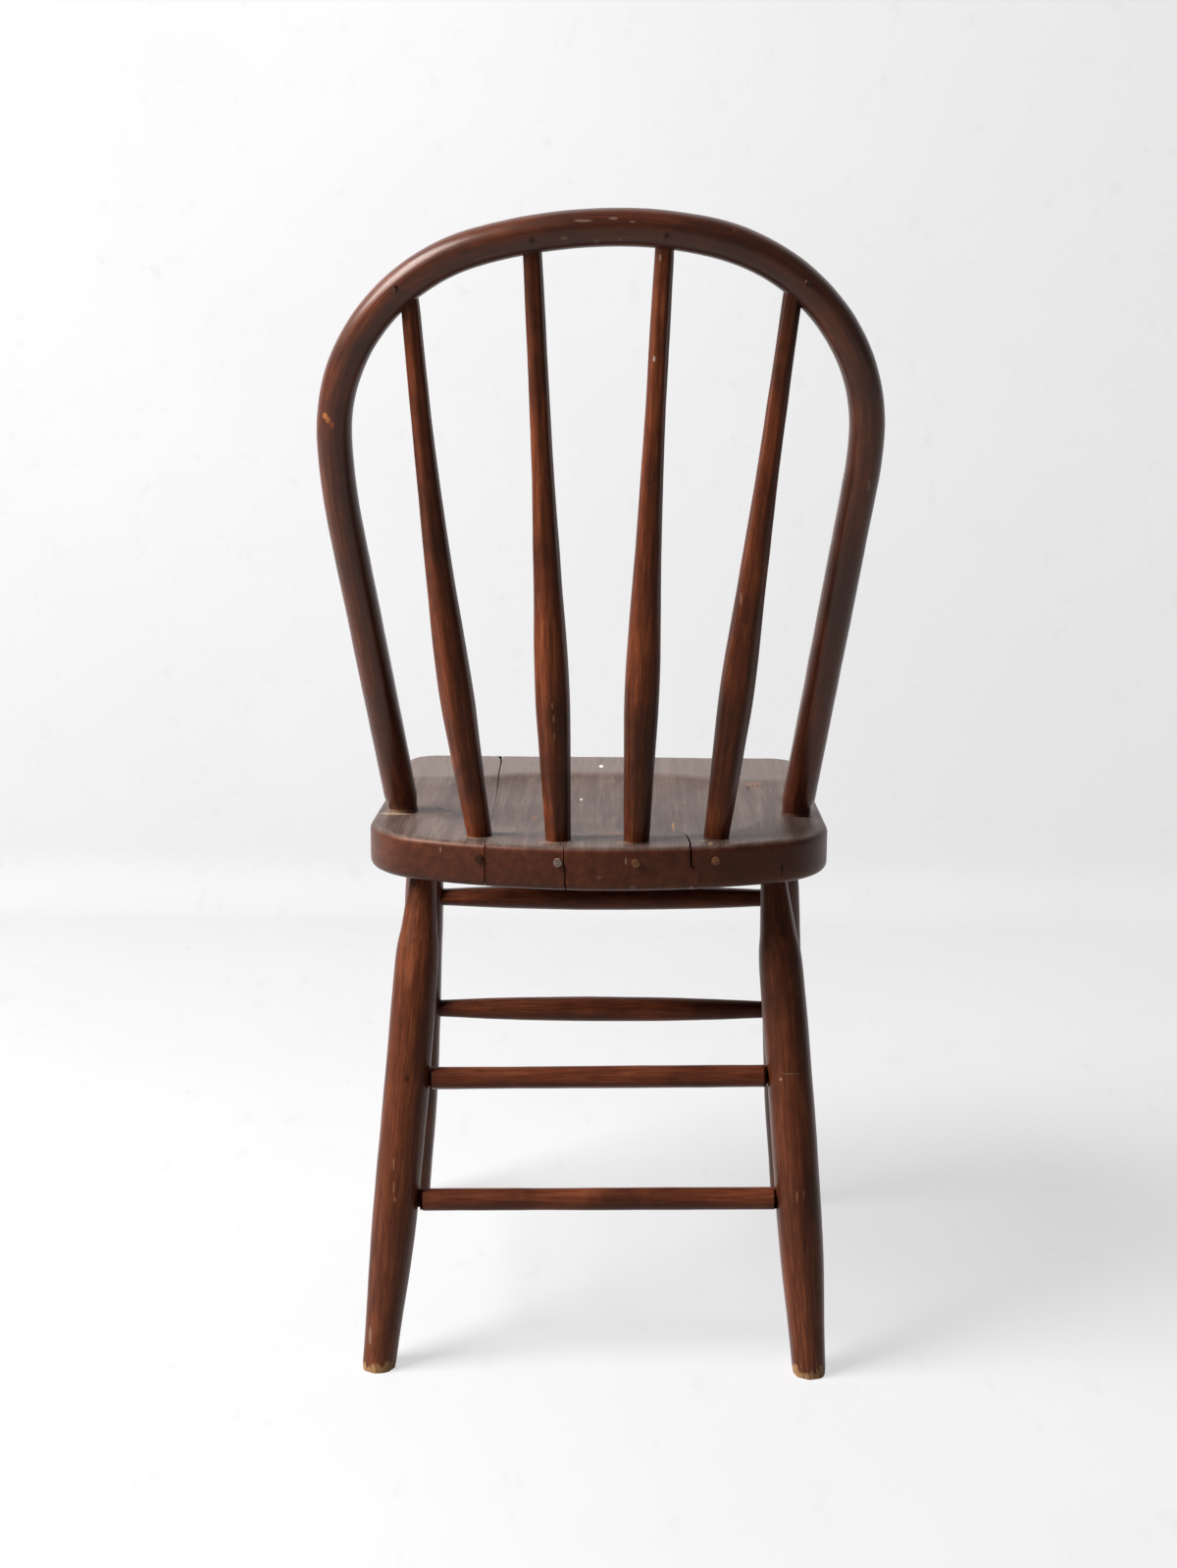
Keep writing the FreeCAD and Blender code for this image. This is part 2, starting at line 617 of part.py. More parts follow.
def build_board(label, narrow):
    """One board of the seat. Both start as the whole seat and lose the other's side."""
    body = start_body(label, Placement(Vector(0, back_edge, seat_under), Rotation()))
    outline = start_sketch(body, "seat_outline")
    draw_outline(outline, [
        (("seat_front_half", 1), ("seat_depth", -1)),
        (("seat_front_half", -1), ("seat_depth", -1)),
        (("seat_rear_half", -1), ("seat_rear_forward", -1)),
        (("seat_rear_half", 1), ("seat_rear_forward", -1)),
    ], arcs={2: ("seat_back_radius", Vector(0, 0, 0))})
    blank = pad(body, "blank", outline, "seat_thickness")

    def stands_at(forward):
        """A test for the upright edges at a distance in front of the back edge."""
        return lambda edge: is_upright(edge) and abs(edge.BoundBox.Center.y + forward) < 0.01

    front = round_edges(body, "front_corners", blank, stands_at(size["seat_depth"]),
                        "seat_front_corner_radius")
    rear = round_edges(body, "rear_corners", front, stands_at(size["seat_rear_forward"]),
                       "seat_rear_corner_radius")
    top = round_edges(body, "top_edge", rear, lambda edge: lies_at(edge, size["seat_thickness"]),
                      "seat_top_round")
    round_edges(body, "bottom_edge", top, lambda edge: lies_at(edge, 0), "seat_bottom_round")

    saddle = body.newObject("PartDesign::SubtractiveEllipsoid", "saddle")
    saddle.AttachmentSupport = outline.AttachmentSupport
    saddle.MapMode = "FlatFace"
    ball_middle = size["seat_thickness"] + size["saddle_ball"] - size["saddle_sink"]
    saddle.AttachmentOffset = Placement(Vector(0, -size["saddle_centre"], ball_middle), Rotation())
    share_at_rim = "sqrt(1 - (1 - Sizes.saddle_sink / Sizes.saddle_ball)^2)"
    saddle.setExpression("Radius1", "Sizes.saddle_ball")
    saddle.setExpression("Radius2", "Sizes.saddle_half_width / " + share_at_rim)
    saddle.setExpression("Radius3", "Sizes.saddle_half_depth / " + share_at_rim)

    side = "narrow" if narrow else "wide"
    away = -1 if narrow else 1
    half_way = Placement(Vector(0, 0, size["seat_thickness"] / 2), Rotation())
    joint = start_sketch(body, "joint_line", offset=half_way)
    draw_outline(joint, [
        (("joint_front_" + side, 1), ("joint_front_reach", -1)),
        (("joint_rear_" + side, 1), ("joint_rear_reach", 1)),
        (("joint_clear", away), ("joint_rear_reach", 1)),
        (("joint_clear", away), ("joint_front_reach", -1)),
    ])
    other_side = body.newObject("PartDesign::Pocket", "other_side")
    other_side.Profile = joint
    other_side.Midplane = True
    other_side.setExpression("Length", "Sizes.seat_thickness * 2")

    def reaches(x, radius):
        """Whether a hole at a place across is in this board."""
        edge = size["board_joint_rear"]
        return x + radius > edge if narrow else x - radius < edge

    for corner, leg in LEGS.items():
        if reaches(leg["top"].x, size["leg_tenon"]):
            axis, _ = leg_axis(corner)
            cut_from(body, "mortise_" + corner, aim(leg["top"] - axis * lead, axis * -1),
                     "leg_tenon_bore", "leg_bore_depth")
    for place, spindle in SPINDLES.items():
        if reaches(spindle["base"].x, size["spindle_tenon"]):
            cut_from(body, "socket_" + place,
                     aim(spindle["base"] + spindle["axis"] * lead, spindle["axis"]),
                     "spindle_tenon_bore", "spindle_bore_depth")
        if reaches(spindle["base"].x, -size["seat_peg"]):
            cut_from(body, "peg_hole_" + place, aim(spindle["peg_head"] + BACK * lead, BACK),
                     "seat_peg_bore", "peg_depth_" + place)
    for foot in BOW_FEET.values():
        if reaches(foot["seat"].x, size["bow_tenon"]):
            cut_from(body, "bow_hole_" + foot["name"],
                     aim(foot["seat"] + foot["axis"] * lead, foot["axis"]),
                     "bow_tenon_bore", "bow_bore_depth")
    doc.recompute()


def build_leg(corner):
    """A turned leg, from below its foot to its plain tenon, trimmed level on the floor."""
    foot = LEGS[corner]["foot"]
    body = start_body("leg_" + corner, aim(foot, leg_axis(corner)[0]))
    stations = [("leg_foot", "leg_start"), ("leg_ankle", "leg_ankle_up"), ("leg_calf", "leg_calf_up"),
                ("leg_knee", "leg_knee_up"), ("leg_belly", "leg_belly_up")]
    for name in ("shoulder", "flare", "neck"):
        stations.append(("leg_" + name, "%s_%s_up" % (corner, name)))
    plain = corner + "_plain_up"
    stations.append(("leg_tenon", plain))
    turn_from_sections(body, stations, LEGS[corner]["bend"])
    add_tenon(body, "tenon", "leg_tenon", plain, "leg_tenon_run")
    trim_below(body, "level_foot", foot, 0)
    for label, first, second, first_up, second_up, kind in STRETCHERS:
        if corner not in (first, second):
            continue
        start, stop = leg_point(first, size[first_up]), leg_point(second, size[second_up])
        here, there = (start, stop) if corner == first else (stop, start)
        inward = (there - here).normalize()
        cut_from(body, "socket_" + label, aim(here + inward * lead, inward),
                 STRETCHER_ENDS[kind] + "_bore", "stretcher_bore_depth")
    doc.recompute()


def build_stretcher(label, first, second, first_up, second_up, kind):
    """A turned stretcher between two legs: bulged in the middle, or plain with shoulders."""
    start, stop = leg_point(first, size[first_up]), leg_point(second, size[second_up])
    axis = (stop - start).normalize()
    body = start_body(label, aim(start - axis * size["stretcher_past_axis"], axis))
    profile = start_sketch(body, "turned_profile", "XZ_Plane")
    end, near = STRETCHER_ENDS[kind], "plain_shoulder_at" if kind == "plain" else "bulged_plain_at"
    far, full = label + "_far", label + "_length"
    if kind == "plain":
        draw_outline(profile, [
            (None, None), ((end, 0.5), None), ((end, 0.5), (near, 1)),
            (("plain_stretcher", 0.5), (near, 1)), (("plain_stretcher", 0.5), (far, 1)),
            ((end, 0.5), (far, 1)), ((end, 0.5), (full, 1)), (None, (full, 1)),
        ])
        turned = revolve(body, "turned_shape", profile)
        wide = size["plain_stretcher"] - 0.01
        round_edges(body, "eased_shoulders", turned, lambda edge: edge.BoundBox.ZLength < 0.01
                    and edge.BoundBox.XLength > wide, "plain_shoulder_round")
    else:
        widest = Vector(size[STRETCHER_MIDDLES[kind]] / 2, size[full] / 2, 0)
        draw_outline(profile, [
            (None, None), ((end, 0.5), None), ((end, 0.5), (near, 1)),
            ((end, 0.5), (far, 1)), ((end, 0.5), (full, 1)), (None, (full, 1)),
        ], arcs={2: (label + "_arc", widest)})
        revolve(body, "turned_shape", profile)
    doc.recompute()


def build_spindle(place):
    """A turned spindle with plain ends, pinned in the seat and in the bow."""
    spindle = SPINDLES[place]
    body = start_body("spindle_" + place, aim(spindle["base"], spindle["axis"]))
    top_plain = place + "_top_plain_up"
    stations = [("spindle_tenon", "spindle_plain")]
    for name in ("swell", "belly", "waist", "shank", "stem"):
        stations.append(("spindle_" + name, "spindle_%s_up" % name))
    stations.append(("spindle_top", top_plain))
    turn_from_sections(body, stations, spindle["bend"])
    add_tenon(body, "seat_tenon", "spindle_tenon", "spindle_plain", "spindle_tenon_run", backwards=True)
    add_tenon(body, "bow_tenon", "spindle_top", top_plain, "spindle_top_run")
    cut_from(body, "peg_hole", aim(spindle["peg_head"] + BACK * lead, BACK),
             "seat_peg_bore", "peg_depth_" + place)
    cut_from(body, "pin_hole", aim(spindle["pin_head"] + spindle["pin_axis"] * lead, spindle["pin_axis"]),
             "bow_pin_bore", "pin_depth_" + place)
    doc.recompute()


def build_pin(label, tip, head, diameter):
    """A round peg or pin from its tip to its head, eased at both ends."""
    body = start_body(label, aim(tip, head - tip))
    circle = start_sketch(body, "circle")
    draw_circle(circle, diameter)
    rod = pad(body, "rod", circle, label + "_length")
    round_edges(body, "eased_ends", rod, lambda edge: edge.BoundBox.ZLength < 0.01,
                "pin_head_chamfer", "PartDesign::Chamfer")
    doc.recompute()


def build_bow():
    """The bent bow: a rounded square swept along its arch, with a turned taper at each foot."""
    body = start_body("back_bow", BOW_FRAME)
    path = start_sketch(body, "arch", "XZ_Plane")
    draw_arch(path)
    start = BOW_FEET[1]
    lean = math.degrees(math.atan2(start["run"].x, start["run"].y))
    section = start_sketch(body, "rod_section", offset=Placement(
        Vector(size["bow_left_end_half"], 0, -size["bow_left_end_down"]),
        Rotation(Vector(0, 1, 0), lean)))
    draw_rounded_rectangle(section, "bow_width", "bow_depth", "bow_corner")
    rod = body.newObject("PartDesign::AdditivePipe", "bent_rod")
    rod.Profile = section
    rod.Spine = (path, [])
    rod.Mode = "Binormal"
    rod.Binormal = Vector(0, 1, 0)
    rod.Transition = "Transformed"

    for side, foot in BOW_FEET.items():
        lean = math.degrees(math.atan2(side * foot["run"].x, foot["run"].y))
        shaved = start_sketch(body, "shaved_%s_foot" % foot["name"], "XZ_Plane", Placement(
            Vector(side * size["bow_foot_half"], 0, 0), Rotation(UP, -lean)))
        draw_outline(shaved, [
            (("bow_tenon", 0.5), ("bow_groove_down", -1)), (("bow_tenon", 0.5), ("bow_tenon_plain", 1)),
            (("bow_taper_top", 0.5), ("bow_taper", 1)), (("bow_groove_reach", 1), ("bow_taper", 1)),
            (("bow_groove_reach", 1), ("bow_groove_down", -1)),
        ])
        revolve(body, "taper_" + foot["name"], shaved, "PartDesign::Groove")
        kerf = start_sketch(body, "kerf_" + foot["name"],
                            offset=BOW_FRAME.inverse() * foot["wedge_frame"] * ON_SIDE)
        draw_outline(kerf, [
            (("kerf_thick", -0.5), ("wedge_spare", -1)), (("kerf_thick", 0.5), ("wedge_spare", -1)),
            (("kerf_thin", 0.5), ("kerf_length", 1)), (("kerf_thin", -0.5), ("kerf_length", 1)),
        ])
        slot = body.newObject("PartDesign::Pocket", "slot_" + foot["name"])
        slot.Profile = kerf
        slot.Midplane = True
        slot.setExpression("Length", "Sizes.bow_tenon * 2")
        trim_below(body, "flush_%s_foot" % foot["name"], foot["under"], seat_under)

    for place, spindle in SPINDLES.items():
        cut_from(body, "socket_" + place, aim(spindle["top"] - spindle["axis"] * lead, spindle["axis"] * -1),
                 "spindle_top_bore", "spindle_top_bore_depth")
        cut_from(body, "pin_hole_" + place,
                 aim(spindle["pin_head"] + spindle["pin_axis"] * lead, spindle["pin_axis"]),
                 "bow_pin_bore", "pin_depth_" + place)
    doc.recompute()


def draw_arch(sketch):
    """The bow's middle line: a straight leg, flank, shoulder and crown arc on each side."""
    def arc(middle, radius, first, second):
        chord = (first + second) * 0.5 - middle
        through = middle + chord * (radius / chord.Length)
        return Part.Arc(first, through, second)

    def flip(point, side):
        return Vector(side * point.x, point.y, 0)

    order = []
    for side, bend in BOW_SIDES.items():
        half = ARCH[side]
        end = Vector(side * size[bend + "end_half"], -size[bend + "end_down"], 0)
        knee, wide = flip(half["knee"], side), flip(half["wide"], side)
        change, crown = flip(half["change"], side), flip(half["crown"], side)
        pieces = [
            Part.LineSegment(end, knee),
            arc(flip(half["flank_middle"], side), half["flank"], knee, wide),
            arc(flip(half["shoulder_middle"], side), half["shoulder"], wide, change),
            arc(flip(half["top_middle"], side), half["top"], change, crown),
        ]
        first = len(order)
        for piece in pieces:
            order.append(sketch.addGeometry(piece))
        line, flank, shoulder, top = order[first:first + 4]
        joints = [(line, flank), (flank, shoulder), (shoulder, top)]
        for one, two in joints:
            join_ends(sketch, one, two, "Tangent")
        tie_point(sketch, line, 1, (bend + "end_half", side), (bend + "end_down", -1))
        wide_end = nearest_end(sketch, flank, wide)
        tie_point(sketch, flank, wide_end, ("bow_wide_half", side), (bend + "wide_up", 1))
        sketch.addConstraint(Sketcher.Constraint("Horizontal", flank, wide_end, flank, 3))
        tie(sketch, "Radius", (flank,), bend + "side_radius")
        tie(sketch, "Radius", (shoulder,), bend + "shoulder_radius")
    left_top, right_top = order[3], order[7]
    join_ends(sketch, left_top, right_top, "Tangent")
    crown = ARCH[1]["crown"]
    crown_end = nearest_end(sketch, left_top, crown)
    tie_point(sketch, left_top, crown_end, ("bow_crown_shift", 1), ("bow_crown_up", 1))
    sketch.addConstraint(Sketcher.Constraint("Vertical", left_top, crown_end, left_top, 3))


def build_wedge(foot):
    """The wedge in the slotted tenon of one bow foot, trimmed flush with the seat."""
    body = start_body("bow_wedge_" + foot["name"], foot["wedge_frame"])
    profile = start_sketch(body, "taper", offset=ON_SIDE)
    draw_outline(profile, [
        (("wedge_thick", -0.5), ("wedge_spare", -1)), (("wedge_thick", 0.5), ("wedge_spare", -1)),
        (("wedge_thin", 0.5), ("wedge_length", 1)), (("wedge_thin", -0.5), ("wedge_length", 1)),
    ])
    pad(body, "wedge", profile, "wedge_width", symmetric=True)
    trim_below(body, "flush_end", foot["under"], seat_under)
    doc.recompute()


build_board("seat_board_wide", narrow=False)
build_board("seat_board_narrow", narrow=True)
for leg_corner in LEGS:
    build_leg(leg_corner)
for stretcher in STRETCHERS:
    build_stretcher(*stretcher)
build_bow()
for spindle_place, one in SPINDLES.items():
    build_spindle(spindle_place)
    build_pin("seat_peg_" + spindle_place, one["peg_tip"], one["peg_head"], "seat_peg")
    build_pin("bow_pin_" + spindle_place, one["pin_tip"], one["pin_head"], "bow_pin")
for bow_foot in BOW_FEET.values():
    build_wedge(bow_foot)
doc.recompute()

# Nothing is written unless every object and every sub-part came out sound
for item in doc.Objects:
    if "Invalid" in item.State or "Error" in item.State:
        raise RuntimeError("%s did not recompute: %s" % (item.Label, item.State))
for body in parts:
    if body.Shape.isNull() or not body.Shape.isValid() or len(body.Shape.Solids) != 1:
        raise RuntimeError("%s is not one sound solid" % body.Label)
os.makedirs("parts", exist_ok=True)
for body in parts:
    body.Shape.exportStep(os.path.join("parts", body.Label + ".step"))
print("wrote %d sub-parts" % len(parts))
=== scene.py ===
import bmesh
import bpy
import math
from functools import partial
from mathutils import Matrix, Vector, geometry, kdtree, noise


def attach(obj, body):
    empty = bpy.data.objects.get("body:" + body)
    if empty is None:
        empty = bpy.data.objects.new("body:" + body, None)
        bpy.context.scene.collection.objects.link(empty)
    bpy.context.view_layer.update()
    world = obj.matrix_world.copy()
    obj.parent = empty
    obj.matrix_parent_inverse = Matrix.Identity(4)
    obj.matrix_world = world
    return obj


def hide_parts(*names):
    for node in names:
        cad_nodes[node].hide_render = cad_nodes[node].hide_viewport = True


# An old bow-back kitchen chair seen from behind: dark stained and varnished hardwood, a dished
# seat of two boards with cracks along the grain, turned legs, stretchers and spindles, and a
# steam-bent bow. Lengths are written in millimetres and are metres in the meshes.

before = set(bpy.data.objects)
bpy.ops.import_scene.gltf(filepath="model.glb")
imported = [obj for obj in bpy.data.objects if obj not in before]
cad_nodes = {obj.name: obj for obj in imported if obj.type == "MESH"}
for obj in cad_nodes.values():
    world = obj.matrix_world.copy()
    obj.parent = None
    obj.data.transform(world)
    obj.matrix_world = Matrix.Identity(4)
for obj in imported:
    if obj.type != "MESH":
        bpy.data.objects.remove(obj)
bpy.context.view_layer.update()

MM = 0.001
scene = bpy.context.scene

# Seat: its height and size, the glued joint between its boards, its dish and its rounded edges
SEAT_TOP = 432.0
SEAT_THICK = 35.0
SEAT_DEPTH = 383.0
SEAT_BACK = 167.5
SEAT_BACK_RADIUS = 342.0
SEAT_UNDER = SEAT_TOP - SEAT_THICK
GLUE_FRONT = 94.0
GLUE_REAR = 86.5
DISH_MIDDLE = -8.0
DISH_HALF_WIDTH = 138.0
DISH_HALF_DEPTH = 131.0
DISH_SINK = 7.0
ROUND_TOP = 5.0
ROUND_UNDER = 6.0

# Bow: sizes in its own leaning plane, the two sides not quite alike
BOW_FORWARD = 134.0
BOW_RAKE = math.radians(20.0)
BOW_FOOT = 161.9
BOW_WIDE = 199.5
BOW_CROWN_UP = 491.8
BOW_CROWN_SHIFT = -14.9
BOW_SECTION = 26.6
BOW_CORNER = 12.2
BOW_TENON = 23.4
# height of the widest place, radius of the flank and turn of the shoulder, left then right
BOW_SIDES = {1: (327.2, 567.8, math.radians(73.5)), -1: (334.9, 324.9, math.radians(77.5))}

# Feet and mortises of the legs, and their bends
LEGS = {
    "leg_rear_left": ((173.5, 165.5), (140.5, 93.5), -2.2),
    "leg_rear_right": ((-173.5, 165.5), (-140.5, 93.5), -1.5),
    "leg_front_left": ((178, -198.5), (160, -152.5), 0),
    "leg_front_right": ((-178, -198.5), (-160, -152.5), 0),
}
# The legs that a stretcher joins, and its height on each
STRETCHERS = {
    "stretcher_front_upper": ("leg_front_left", 308, "leg_front_right", 310.5),
    "stretcher_front_lower": ("leg_front_left", 197, "leg_front_right", 199.5),
    "stretcher_rear_upper": ("leg_rear_left", 230, "leg_rear_right", 235.5),
    "stretcher_rear_lower": ("leg_rear_left", 133.5, "leg_rear_right", 138.5),
    "stretcher_left_upper": ("leg_rear_left", 264, "leg_front_left", 279),
    "stretcher_left_lower": ("leg_rear_left", 161, "leg_front_left", 172),
    "stretcher_right_upper": ("leg_rear_right", 264, "leg_front_right", 279),
    "stretcher_right_lower": ("leg_rear_right", 161, "leg_front_right", 172),
}
# Place of each spindle on the seat (out, forward) and on the bow (across), and its bend
SPINDLES = {
    "outer_left": (93.3, 44, 139.6, 4.2),
    "inner_left": (30.5, 30, 48.8, -0.5),
    "inner_right": (-30.5, 30, -46.8, 1.4),
    "outer_right": (-93.3, 44, -140.8, 0),
}

# Marks of long use: colour, place, reach along each axis, and strength
LEG_MARKS = [
    ("#94684d", (160.7, 153.2, 168), (0.7, 4, 4.5), 0.7),
    ("#94684d", (160.5, 157, 149.5), (0.7, 4, 5), 0.7),
    ("#94684d", (159.4, 158.6, 140), (1, 4, 2.2), 0.6),
    ("#1c0d08", (150.5, 141.6, 235.7), (1.8, 4, 3), 0.6),
    ("#9a7a62", (179.4, 170, 29), (1.3, 5, 7), 0.6),
    ("#8f705d", (-155.5, 139, 242.8), (8, 6, 0.6), 0.45),
    ("#a58671", (-147.2, 139.4, 237.8), (1.3, 4, 1.1), 0.7),
    ("#8a5b3e", (-161, 157, 146.5), (0.8, 4, 4.5), 0.7),
    ("#8a5b3e", (-166.6, 156.7, 148), (0.7, 4, 3.8), 0.6),
    ("#1c0d08", (-167.6, 163.7, 108), (1.1, 4, 7), 0.7),
]
SPINDLE_MARKS = [
    ("#8e5f45", (34.5, 165.6, 541.8), (0.8, 3, 3), 0.8),
    ("#8e5f45", (33.4, 164.2, 532), (0.8, 3, 3.6), 0.8),
    ("#8e5f45", (33.1, 161.7, 517), (0.7, 3, 3.6), 0.7),
    ("#9c8473", (-43.1, 204.5, 872.8), (0.9, 3, 2.6), 0.8),
    ("#b7a698", (-39.8, 195, 802), (0.9, 3, 2), 0.8),
    ("#8f6a55", (-107.4, 161.2, 624), (0.9, 3, 4.4), 0.6),
]
BOW_MARKS = [
    ("#b9703d", (203.8, 165.6, 758.6), (2, 5, 2.4), 0.8),
    ("#b9703d", (201.6, 164.8, 755.6), (1.8, 5, 2.4), 0.8),
    ("#a9592f", (199, 164, 751.8), (1.6, 5, 2.4), 0.7),
    ("#a98d7c", (-202.3, 148.2, 708.8), (0.8, 5, 5), 0.7),
    ("#83695c", (12, 215, 897.9), (6, 5, 0.9), 0.6),
    ("#83695c", (-9.4, 215, 899.6), (3, 5, 0.9), 0.6),
    ("#83695c", (-23.3, 215.8, 897.4), (2.2, 5, 0.8), 0.5),
    ("#83695c", (25.3, 212.8, 885.8), (2.4, 5, 1), 0.6),
    ("#83695c", (2.3, 211.8, 883.9), (2, 5, 1.2), 0.6),
    ("#83695c", (-14.4, 212.6, 885.3), (1.6, 5, 1), 0.5),
    ("#a58d78", (164, 46, 433), (14, 16, 1.6), 0.6),
    ("#8c7768", (-164, 46, 433), (14, 16, 1.2), 0.4),
]
SEAT_MARKS = [
    ("#0b0605", (133.6, 22, 432), (3, 6, 6), 1),
    ("#0b0605", (127.6, 30.5, 432), (1.8, 4, 6), 0.9),
    ("#9a6a45", (125.5, 36, 432), (5, 8, 6), 0.5),
    ("#8a5e3d", (-133.4, -90, 431), (8, 8, 8), 0.6),
    ("#140b08", (-128, -74, 431), (1.2, 8, 8), 0.9),
    ("#140b08", (-132.4, -77, 431), (1.2, 8, 8), 0.9),
    ("#140b08", (-136.6, -80, 431), (1.1, 8, 8), 0.8),
    ("#140b08", (-140.4, -80, 431), (1, 7, 8), 0.7),
    ("#8a5e3d", (-134.5, -74, 431), (5, 6, 8), 0.5),
    ("#f2ece6", (1.5, -166, 432), (1.8, 6, 4), 1),
    ("#e6dfd6", (17, -50, 426), (1.3, 5, 4), 0.9),
    ("#8f5c38", (-11.8, 94.6, 429), (9, 9, 8), 0.55),
    ("#8f5c38", (54, 26, 427), (3, 7, 8), 0.5),
    ("#8f5c38", (-72, -40, 428), (1.8, 5, 8), 0.5),
    ("#a8794d", (-60.6, 60, 430), (1.4, 22, 8), 0.8),
    ("#a08468", (-82.5, 137, 432), (3.4, 3, 3), 0.7),
    ("#a08468", (-88, 146.5, 432), (2, 5, 3), 0.8),
    ("#b09a80", (168, 48, 432), (12, 5, 2), 0.6),
    ("#8f6f55", (99, 132, 432), (7, 5, 2), 0.5),
    ("#8f6f55", (38, 148, 432), (7, 5, 2), 0.55),
    ("#8f6f55", (-22, 148, 432), (8, 5, 2), 0.55),
    ("#160c09", (-33, 148, 432), (8, 5, 2), 0.6),
    ("#8d7565", (122.2, 144.9, 424.5), (0.6, 6, 2.2), 0.6),
    ("#a08a7a", (-22.4, 166.7, 421.8), (0.6, 6, 3), 0.7),
    ("#6d584b", (-2.1, 167.5, 408.6), (1.8, 6, 1.2), 0.5),
    ("#7d6656", (-27.9, 165.8, 400.6), (2.6, 6, 1.4), 0.6),
    ("#a58d7b", (-73.4, 158.1, 399.2), (1.3, 6, 1.2), 0.7),
]


def linear(code):
    """A linear colour from an sRGB hex code."""
    channels = [int(code[i:i + 2], 16) / 255 for i in (1, 3, 5)]
    return [c / 12.92 if c <= 0.04045 else ((c + 0.055) / 1.055) ** 2.4 for c in channels] + [1.0]


def add_node(tree, kind, inputs=None, stops=(), **settings):
    """Adds a node with its settings.

    An input, by its name or number, is a value (a hex code for a colour), an output to link, or
    a node, whose first output is linked. Stops are a colour ramp's places and hex codes.
    """
    node = tree.nodes.new(kind)
    for name, value in settings.items():
        setattr(node, name, value)
    for key, value in (inputs or {}).items():
        named = [socket for socket in node.inputs if socket.enabled and socket.name == key]
        socket = named[0] if named else node.inputs[key]
        if isinstance(value, bpy.types.Node):
            value = next(output for output in value.outputs if output.enabled)
        if isinstance(value, bpy.types.NodeSocket):
            tree.links.new(value, socket)
        else:
            socket.default_value = linear(value) if socket.type == "RGBA" else value
    for index, (place, code) in enumerate(stops):
        elements = node.color_ramp.elements
        stop = elements[index] if index < len(elements) else elements.new(place)
        stop.position, stop.color = place, linear(code)
    return node


# Where the parts run


def on_seat(out, forward, height=SEAT_TOP):
    return Vector((out, SEAT_BACK - forward, height))


def along_axis(direction):
    """The turn that points a piece's own Z along a direction."""
    return Vector((0, 0, 1)).rotation_difference(Vector(direction)).to_matrix()


def leg_line(name):
    """Foot, direction and length of a leg."""
    (foot_x, foot_y), (top_x, top_y), _ = LEGS[name]
    foot = Vector((foot_x, foot_y, 0))
    run = Vector((top_x, top_y, SEAT_UNDER)) - foot
    return foot, run.normalized(), run.length


def leg_point(name, height):
    """The middle of a leg at a height, with its bend."""
    foot, axis, length = leg_line(name)
    along = height / axis.z
    share = (along + 6.0) / (length + 1.0)
    bend = 4 * LEGS[name][2] * share * (1 - share)
    return foot + axis * along + along_axis(axis) @ Vector((bend, 0, 0))


def arch_half(side):
    """Centres and radii of the three arcs of one half of the bow, outwards positive."""
    wide_up, flank, turn = BOW_SIDES[side]
    crown = side * BOW_CROWN_SHIFT
    reach, rise = BOW_WIDE - crown, BOW_CROWN_UP - wide_up
    cosine, sine = math.cos(turn), math.sin(turn)
    share = 1 - cosine - sine
    shoulder = (reach * (1 - sine) - rise * cosine) / share
    top = (rise * (1 - cosine) - reach * sine) / share
    flank_middle = Vector((BOW_WIDE - flank, wide_up))
    run = Vector((BOW_FOOT, 0)) - flank_middle
    touch = math.atan2(run.y, run.x) + math.acos(flank / run.length)
    return {"touch": touch, "turn": turn, "flank": (flank_middle, flank),
            "shoulder": (Vector((BOW_WIDE - shoulder, wide_up)), shoulder),
            "top": (Vector((crown, BOW_CROWN_UP - top)), top)}


def arch_line(side, gap=3.0, below=44.0):
    """Points of one half of the bow's middle line, from below the seat to the crown."""
    half = arch_half(side)

    def arc(name, start, stop):
        middle, radius = half[name]
        count = max(2, int(radius * abs(stop - start) / gap))
        angles = [start + (stop - start) * i / count for i in range(count + 1)]
        return [middle + Vector((math.cos(a), math.sin(a))) * radius for a in angles]

    flank = arc("flank", half["touch"], 0.0)
    foot = Vector((BOW_FOOT, 0))
    start = foot + (foot - flank[0]).normalized() * below
    steps = int((flank[0] - start).length / gap)
    points = [start.lerp(flank[0], i / steps) for i in range(steps)] + flank
    points += arc("shoulder", 0.0, half["turn"])[1:]
    points += arc("top", half["turn"], math.pi / 2)[1:]
    return [Vector((side * p.x, 0, p.y)) for p in points]


def arch_height(across):
    """Height of the bow's middle line over a place across its upper part."""
    side = 1 if across > BOW_CROWN_SHIFT else -1
    half = arch_half(side)
    middle, radius = half["top"]
    if side * across > middle.x + radius * math.cos(half["turn"]):
        middle, radius = half["shoulder"]
    return middle.y + math.sqrt(radius ** 2 - (side * across - middle.x) ** 2)


BOW_FRAME = (Matrix.Translation(on_seat(0, BOW_FORWARD) * MM) @ Matrix.Rotation(-BOW_RAKE, 4, "X"))


def on_bow(across, up, back=0.0):
    return (BOW_FRAME @ (Vector((across, back, up)) * MM)) / MM


def spindle_line(place):
    """Foot, direction and length of a spindle, from the seat's top to the bow's middle."""
    out, forward, across, _ = SPINDLES[place]
    base = on_seat(out, forward)
    run = on_bow(across, arch_height(across)) - base
    return base, run.normalized(), run.length


# Geometry Nodes: a lathe for what is turned, and a bender for the bow


